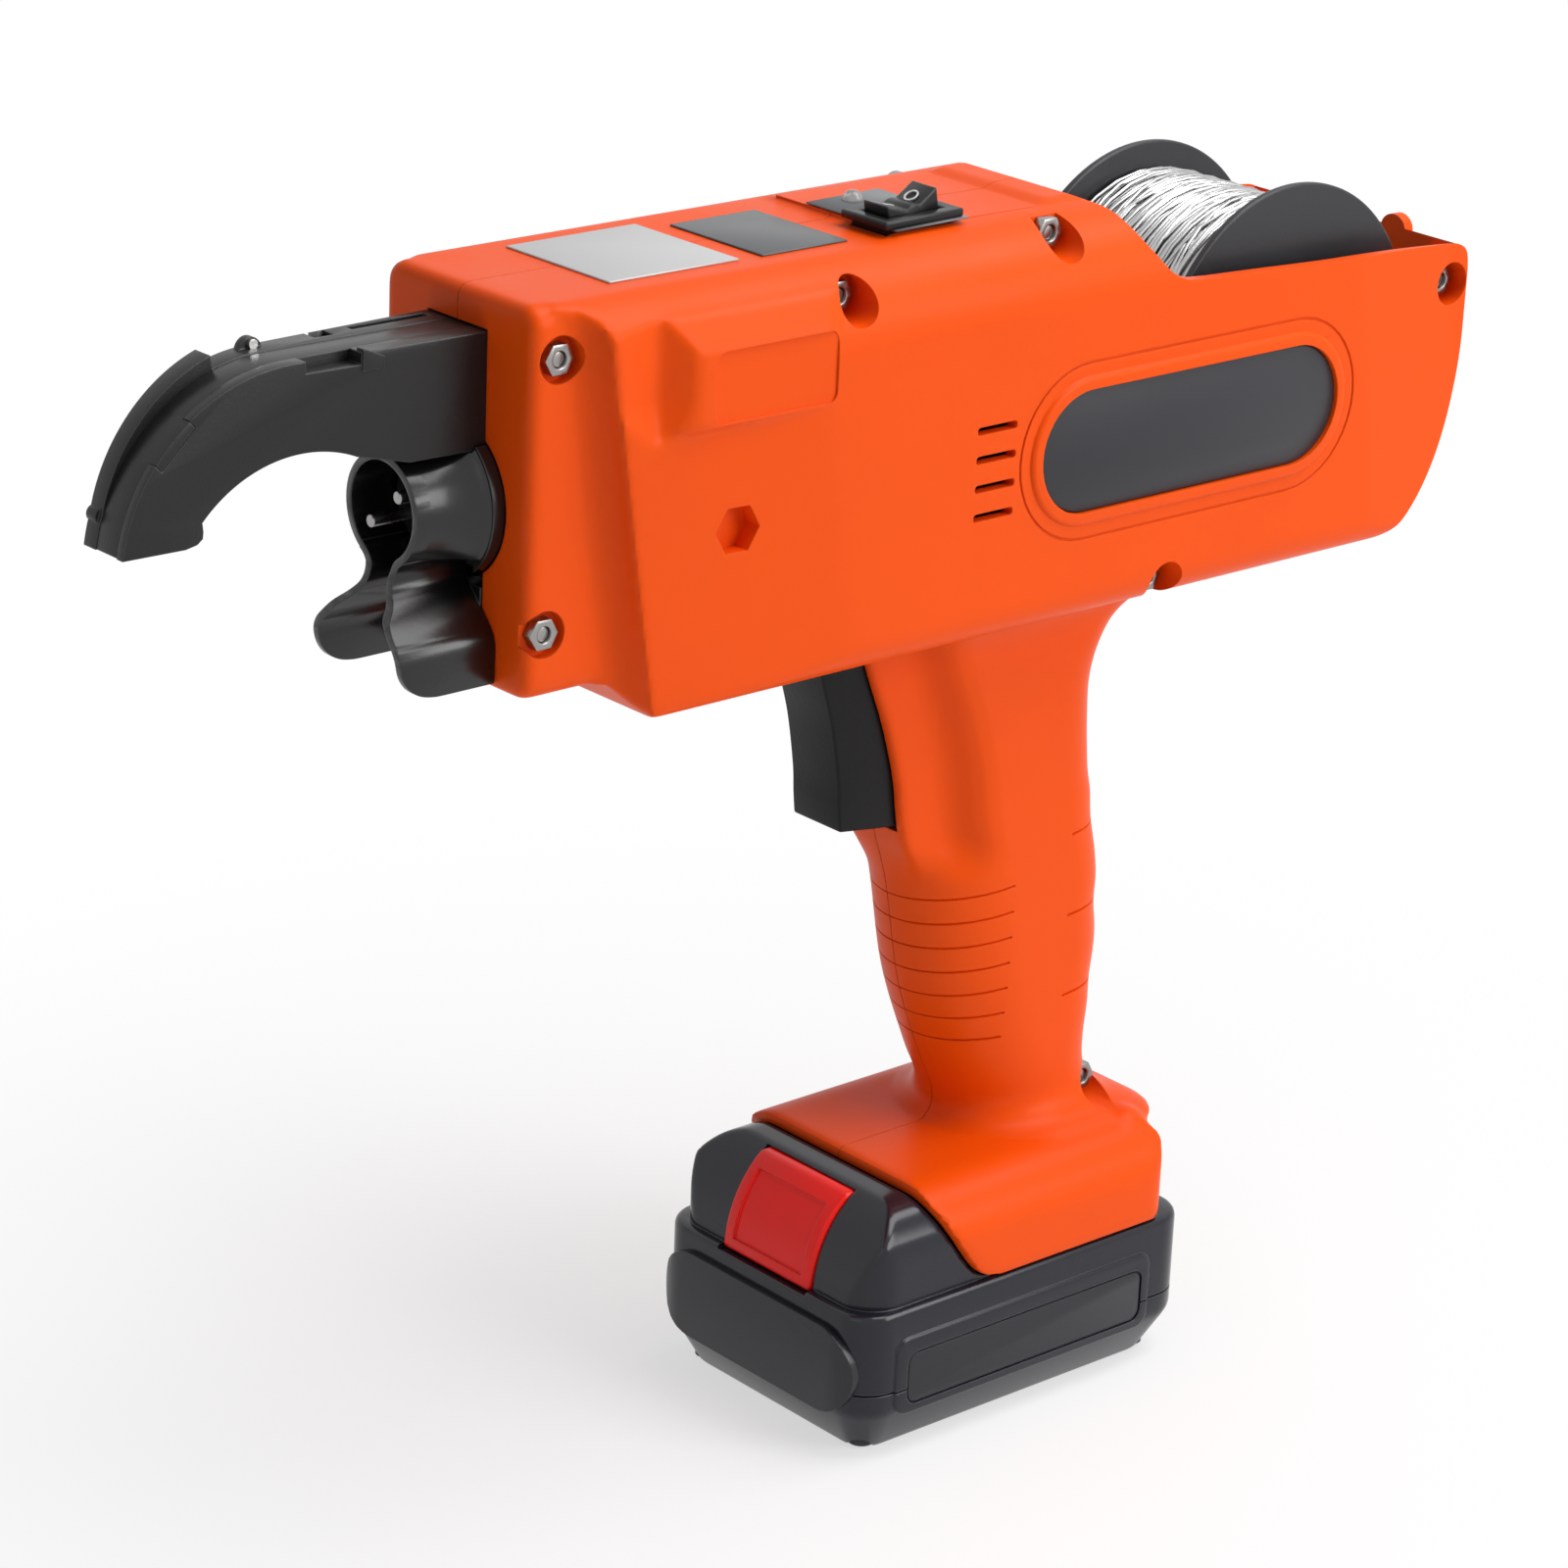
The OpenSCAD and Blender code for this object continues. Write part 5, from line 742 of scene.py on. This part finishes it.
# Wire reel
# A moulded spool of dark grey plastic wound with bright annealed tie wire.
reel_grey = moulded("reel_grey", (0.020, 0.021, 0.024), 0.34, grain=1000, depth=0.05, edge_wear_and_highlight=(0.08, 0.08, 0.09),
                    Specular_IOR_Level=0.35)
paint(softened("wire_reel", "spool", "reel", "reel_grey", 0.45, segments=3), reel_grey)
wire_bright = metal("tie_wire", (0.46, 0.46, 0.46), 0.28, scratch=2000)
REEL_X, REEL_Z, COIL_HALF_W, COIL_R, WIRE_R = -63.8, 208, 19.6, 29.2, 0.42
LAYERS = ((COIL_R - 0.8, 36, 1), (COIL_R - 0.1, 20, -1), (COIL_R + 0.3, 7, 1))
TURN_STEPS, LOOSE_TURNS, LOOSE_STEPS = 30, 30, 36
random.seed(5)
wind = bmesh.new()


def wire_end(place):
    """The section of a wire in its place: its points, and its edges to spin"""
    points = bmesh.ops.create_circle(wind, cap_ends=False, segments=6, radius=WIRE_R)["verts"]
    bmesh.ops.translate(wind, vec=place, verts=points)
    return points, list({edge for vert in points for edge in vert.link_edges})


for radius, turns, slant in LAYERS:
    start = slant * -(COIL_HALF_W - WIRE_R)
    edges = wire_end((REEL_X + radius, start, REEL_Z))[1]
    steps = turns * TURN_STEPS
    bmesh.ops.spin(wind, geom=edges, cent=(REEL_X, start, REEL_Z), axis=(0, 1, 0),
                   dvec=(0, slant * 2 * (COIL_HALF_W - WIRE_R) / steps, 0), angle=2 * math.pi * turns,
                   steps=steps, use_merge=False, use_duplicate=False)
bmesh.ops.holes_fill(wind, edges=[edge for edge in wind.edges if edge.is_boundary], sides=0)
for _ in range(LOOSE_TURNS):
    lean, place = random.uniform(0.03, 0.22), random.uniform(0, 2 * math.pi)
    reach = COIL_HALF_W - 1 - COIL_R * math.sin(lean)
    radius = COIL_R + random.uniform(-0.1, 0.45)
    ring, edges = wire_end((radius, 0, 0))
    bmesh.ops.spin(wind, geom=edges, cent=(0, 0, 0), axis=(0, 1, 0), angle=2 * math.pi, steps=LOOSE_STEPS,
                   use_merge=True, use_duplicate=False)
    loop, todo = set(ring), list(ring)
    while todo:
        for edge in todo.pop().link_edges:
            for vert in edge.verts:
                if vert not in loop:
                    loop.add(vert)
                    todo.append(vert)
    bmesh.ops.rotate(wind, cent=(0, 0, 0), verts=list(loop),
                     matrix=Matrix.Rotation(lean, 3, (math.cos(place), 0, math.sin(place))))
    bmesh.ops.translate(wind, vec=(REEL_X, random.uniform(-reach, reach), REEL_Z), verts=list(loop))
bmesh.ops.recalc_face_normals(wind, faces=wind.faces)
winding = solid("winding", wind)
paint(finished(winding, "wire_winding", "reel", "tie_wire", "wire_coil", sharp=80), wire_bright)


# Battery
# Two charcoal ABS cases screwed together round three cells: a tray with softly tapered sides, a
# domed nose that meets the foot, framed side plates, and the rails that slide into the foot.
PACK_X, PACK_HALF_W, PACK_R, PACK_SPLIT, LEDGE = 45, 31.5, 8, 14.4, 31.5
DOME_X, DOME_Z, DOME_RX, DOME_RZ = 24, 30, 18.8, 22.7
FRAME_HALF_W, FRAME_EDGE_R, BED_Y, SPRING_Z, LATCH_ROOM_W = 32.1, 0.55, 31.4, 39, 13.4


def tray(levels):
    """A stack of round-cornered loops, each drawn in by its own amount, closed at both ends"""
    bm = bmesh.new()
    for z, i in levels:
        outline = soft_rect(i - PACK_X, i - PACK_HALF_W, PACK_X - i, PACK_HALF_W - i,
                            max(PACK_R - 0.5 * i, 3))
        add_loop(bm, [(x, y, z) for x, y in outline])
    return skinned(bm)


def dome_arc(proud, start, end, steps=24):
    """Part of the dome's side outline, standing proud by some amount"""
    return arc(DOME_X, DOME_Z, DOME_RX + proud, DOME_RZ + proud, start, end, steps)


pack = solid("pack", tray([(0, 5.9), (0.25, 5.3), (0.9, 4.7), (8.6, 0.7), (9.8, 0.2), (11, 0), (30, 0),
                           (30.8, 0.15), (31.3, 0.5), (LEDGE, 1)]))
dome_side = [(x + 0.5, z) for x, z in FOOT_FRONT] + dome_arc(0, 79, 0) + [(43, 28), (9.5, 28)]
dome = solid("dome", prism(dome_side, "y", -REACH, REACH))
work(dome, "INTERSECT", prism(foot_cross(1.9), "x", -FAR, FAR),
     prism(soft_rect(-60, -29.6, 43, 29.6, 8.5), "z", 0, 60))
melt(dome, 0.5, 14)
work(pack, "UNION", dome)
rails = solid("rails", prism(both_sides([(24.8, 30), (24.8, 37.7), (27.6, 37.7), (27.6, 43)]), "x", -33, 16))
work(rails, "INTERSECT", prism(foot_cross(2.9), "x", -FAR, FAR))
work(rails, "DIFFERENCE", *[box((-40, 8 * s - 0.8, 31.7), (-7.5, 8 * s + 0.8, 45)) for s in (1, -1)])
frames = []
for side in (1, -1):
    border = prism(soft_rect(-33.5, 8.8, 36.5, 25.6, 3.4), "y", *across(side, 30, FRAME_HALF_W))
    outer_edge = [edge for edge in border.edges if all(abs(vert.co.y) > 32 for vert in edge.verts)]
    rounded(border, outer_edge, FRAME_EDGE_R, 3)
    frames.append(border)
work(pack, "UNION", rails, *frames)
SCREW_X, SCREW_Y, SCREW_HEAD, SCREW_HOLE = 37.3, 23.6, (-1, 2.65, 2.7), (2, 26, 1.3)
room = tray([(2.5, 7.4), (9.4, 3), (29, 2.6)])
sinks = [rod("z", z0, z1, sx * SCREW_X, sy * SCREW_Y, r) for sx in (1, -1) for sy in (1, -1)
         for z0, z1, r in (SCREW_HEAD, SCREW_HOLE)]
bed = soft_rect(-31.2, 10.7, 33.4, 22.2, 2.6)
beds = [prism(bed, "y", *across(side, BED_Y, REACH)) for side in (1, -1)]
latch_room = prism([(60, 50.3), (60, 30.7), (34.6, 30.7), (30, 43), (24, 50.3)],
                   "y", -LATCH_ROOM_W, LATCH_ROOM_W)
work(pack, "DIFFERENCE", room, *sinks, *beds, latch_room, rod("x", 29.7, 40, 0, SPRING_Z, 3.8))
# The cases' paler rounded edges are mostly a painted highlight along their rims, with a little wear.
case_grey = moulded("battery_grey", (0.012, 0.013, 0.020), 0.17, grain=800, depth=0.02,
                    edge_wear_and_highlight=(0.07, 0.07, 0.09), Specular_IOR_Level=0.35)
plate_grey = moulded("battery_label", (0.020, 0.021, 0.026), 0.30, grain=2200, depth=0.04,
                     Specular_IOR_Level=0.35)
for name, node, low, high in (("case_low", "battery_lower_case", -5, PACK_SPLIT - 0.2),
                              ("case_top", "battery_upper_case", PACK_SPLIT + 0.2, 60)):
    case = copied(name, pack)
    work(case, "INTERSECT", box((-60, -60, low), (60, 60, high)))
    paint(finished(case, name, "battery", "battery_grey", node), case_grey)
bpy.data.objects.remove(pack)
SIDE_PLATE, SIDE_IN, SIDE_OUT = soft_rect(-30.8, 11.1, 33, 21.8, 2.2), 31.42, 31.95
side_plates = solid("side_plates", prism(SIDE_PLATE, "y", SIDE_IN, SIDE_OUT))
work(side_plates, "UNION", prism(SIDE_PLATE, "y", -SIDE_OUT, -SIDE_IN))
broken(side_plates, 0.2, 2)
paint(finished(side_plates, "plates_side", "battery", "battery_label", "battery_side_plates"), plate_grey)
front_plate = solid("front_plate", prism(soft_rect(-28.6, 9, 28.6, 27.4, 9.1), "x", 41, 50))
work(front_plate, "INTERSECT", prism(soft_rect(0, -33, 46.4, 33, 9.5), "z", 0, 40))
work(front_plate, "DIFFERENCE", prism(soft_rect(0, -31.4, 44.9, 31.4, 7.9), "z", 0, 40))
broken(front_plate, 0.6)
paint(finished(front_plate, "plate_front", "battery", "battery_label", "battery_front_plate"), plate_grey)


# Battery latch button
# A red push button that follows the dome, with a sunk finger panel and a spring behind it.
button_red = moulded("button_red", (0.93, 0.012, 0.007), 0.26, grain=900, depth=0.04, edge_wear_and_highlight=(0.84, 0.04, 0.03),
                     Specular_IOR_Level=0.25)
LATCH_HALF_W, LATCH_PROUD, PANEL_HALF_W, PANEL_PROUD = 13.1, 0.9, 10.3, 0.35
latch = solid("latch", prism(dome_arc(LATCH_PROUD, 57.9, 2.4) + [(37.6, 31), (33, 43), (27, 50)],
                             "y", -LATCH_HALF_W, LATCH_HALF_W))
broken(latch, 0.8, 3)
work(latch, "DIFFERENCE", prism(dome_arc(PANEL_PROUD, 48, 9) + dome_arc(6, 9, 48),
                                "y", -PANEL_HALF_W, PANEL_HALF_W), rod("x", 20, 36.75, 0, SPRING_Z, 3.75))
paint(finished(latch, "latch_button", "release_button", "button_red", "release_button"), button_red)


# Parts inside the shells
# Gears, motors, bearings, wiring parts and cells keep their CAD shapes and get their finishes here.
gear_brass = metal("gear_brass", (0.60, 0.42, 0.16), 0.30)
motor_steel = metal("motor_case", (0.36, 0.36, 0.37), 0.34)
board_green = moulded("board_green", (0.012, 0.10, 0.035), 0.30, grain=1500)
cell_wrap = moulded("cell_wrap", (0.02, 0.16, 0.10), 0.28, grain=1500)
blackened = metal("blackened_steel", (0.05, 0.05, 0.055), 0.4)
inner_black = moulded("inner_black", (0.02, 0.02, 0.02), 0.45)
INSIDE = {
    gear_brass: ("planet_gear_1", "planet_gear_2", "planet_gear_3", "sun_gear", "feed_pinion", "drive_gear",
                 "driven_gear"),
    bright: ("twist_shaft", "front_bearing", "rear_bearing", "planet_carrier", "motor_shaft", "drive_axle",
             "lever_pin", "lever_spring", "inlet_tube", "trigger_spring", "reel_shaft", "button_spring",
             "terminal_blades"),
    motor_steel: ("ring_gear", "twist_motor", "feed_motor", "feed_frame", "pressure_lever"),
    board_green: ("control_board",),
    cell_wrap: ("battery_cells",),
    inner_black: ("trigger_switch", "terminal_block"),
    blackened: ("battery_screws",),
}
for material, nodes in INSIDE.items():
    for node in nodes:
        paint(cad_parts[node], material)


# Studio
# A pale floor that fades into a white backdrop, soft light from overhead and from the left, a weak
# one from the front, and the camera where the photograph was taken from.
SENSOR_W, FOCAL, PHOTO_W, EYE = 36, 5139, 1600, (0.6462, 0.6749, 0.4736)
BACKDROP, SKY_LIGHT, PAPER = 1.0, 0.24, (0.92, 0.92, 0.92, 1)
camera_data = bpy.data.cameras.new("camera")
camera_data.sensor_width, camera_data.lens = SENSOR_W, SENSOR_W * FOCAL / PHOTO_W
camera = bpy.data.objects.new("camera", camera_data)
bpy.context.scene.collection.objects.link(camera)
ahead, right = Vector((-0.6233, -0.6986, -0.3512)), Vector((-0.7555, 0.6540, 0.0399))
up = right.cross(ahead).normalized()
turn = Matrix((right, up, -ahead)).transposed().to_4x4()
camera.matrix_world = Matrix.Translation(EYE) @ turn
bpy.context.scene.camera = camera


def seen(nodes, links):
    """1 for rays that show the backdrop itself: from the camera, or by way of metal or glass"""
    path = nodes.new("ShaderNodeLightPath")
    last = path.outputs["Is Camera Ray"]
    for ray in ("Is Glossy Ray", "Is Transmission Ray"):
        both = nodes.new("ShaderNodeMath")
        both.operation = "MAXIMUM"
        links.new(last, both.inputs[0])
        links.new(path.outputs[ray], both.inputs[1])
        last = both.outputs["Value"]
    return last


floor_bm = bmesh.new()
bmesh.ops.create_grid(floor_bm, x_segments=1, y_segments=1, size=6)
floor = solid("floor", floor_bm)
paper = bpy.data.materials.new("paper")
paper.use_nodes = True
nodes, links = paper.node_tree.nodes, paper.node_tree.links
matt = nodes["Principled BSDF"]
matt.inputs["Base Color"].default_value = PAPER
matt.inputs["Roughness"].default_value = 0.8
glow = nodes.new("ShaderNodeEmission")
glow.inputs["Strength"].default_value = BACKDROP
coords = nodes.new("ShaderNodeTexCoord")
far = nodes.new("ShaderNodeVectorMath")
far.operation = "LENGTH"
links.new(coords.outputs["Object"], far.inputs[0])
fade = nodes.new("ShaderNodeMapRange")
fade.interpolation_type = "SMOOTHSTEP"
fade.inputs["From Min"].default_value, fade.inputs["From Max"].default_value = 0.05, 0.34
fade.inputs["To Min"].default_value, fade.inputs["To Max"].default_value = 0.6, 1.0
links.new(far.outputs["Value"], fade.inputs["Value"])
share = nodes.new("ShaderNodeMath")
share.operation = "MULTIPLY"
links.new(fade.outputs["Result"], share.inputs[0])
links.new(seen(nodes, links), share.inputs[1])
blend = nodes.new("ShaderNodeMixShader")
links.new(share.outputs["Value"], blend.inputs["Fac"])
links.new(matt.outputs["BSDF"], blend.inputs[1])
links.new(glow.outputs["Emission"], blend.inputs[2])
links.new(blend.outputs["Shader"], nodes["Material Output"].inputs["Surface"])
paint(floor, paper)

world = bpy.data.worlds.new("studio")
world.use_nodes = True
bpy.context.scene.world = world
nodes, links = world.node_tree.nodes, world.node_tree.links
sky = nodes["Background"]
sky.inputs["Color"].default_value = (1, 1, 1, 1)
level = nodes.new("ShaderNodeMapRange")
level.inputs["To Min"].default_value, level.inputs["To Max"].default_value = SKY_LIGHT, BACKDROP
links.new(seen(nodes, links), level.inputs["Value"])
links.new(level.outputs["Result"], sky.inputs["Strength"])


def lamp(name, place, target, size, power):
    """A soft box facing the tool"""
    data = bpy.data.lights.new(name, "AREA")
    data.shape, data.size, data.size_y, data.energy = "RECTANGLE", size[0], size[1], power
    made = bpy.data.objects.new(name, data)
    bpy.context.scene.collection.objects.link(made)
    made.location = place
    made.rotation_euler = (Vector(target) - Vector(place)).to_track_quat("-Z", "Y").to_euler()


lamp("overhead", (-0.35, 0.25, 1.05), (0, 0, 0.15), (0.7, 0.7), 8.4)
lamp("left_box", (-0.55, 1.15, 0.7), (0, 0, 0.17), (0.7, 0.7), 9.4)
lamp("front_box", (1.3, 0.3, 0.7), (0.05, 0, 0.17), (0.8, 0.8), 1)

bpy.context.scene.view_settings.view_transform = "Standard"
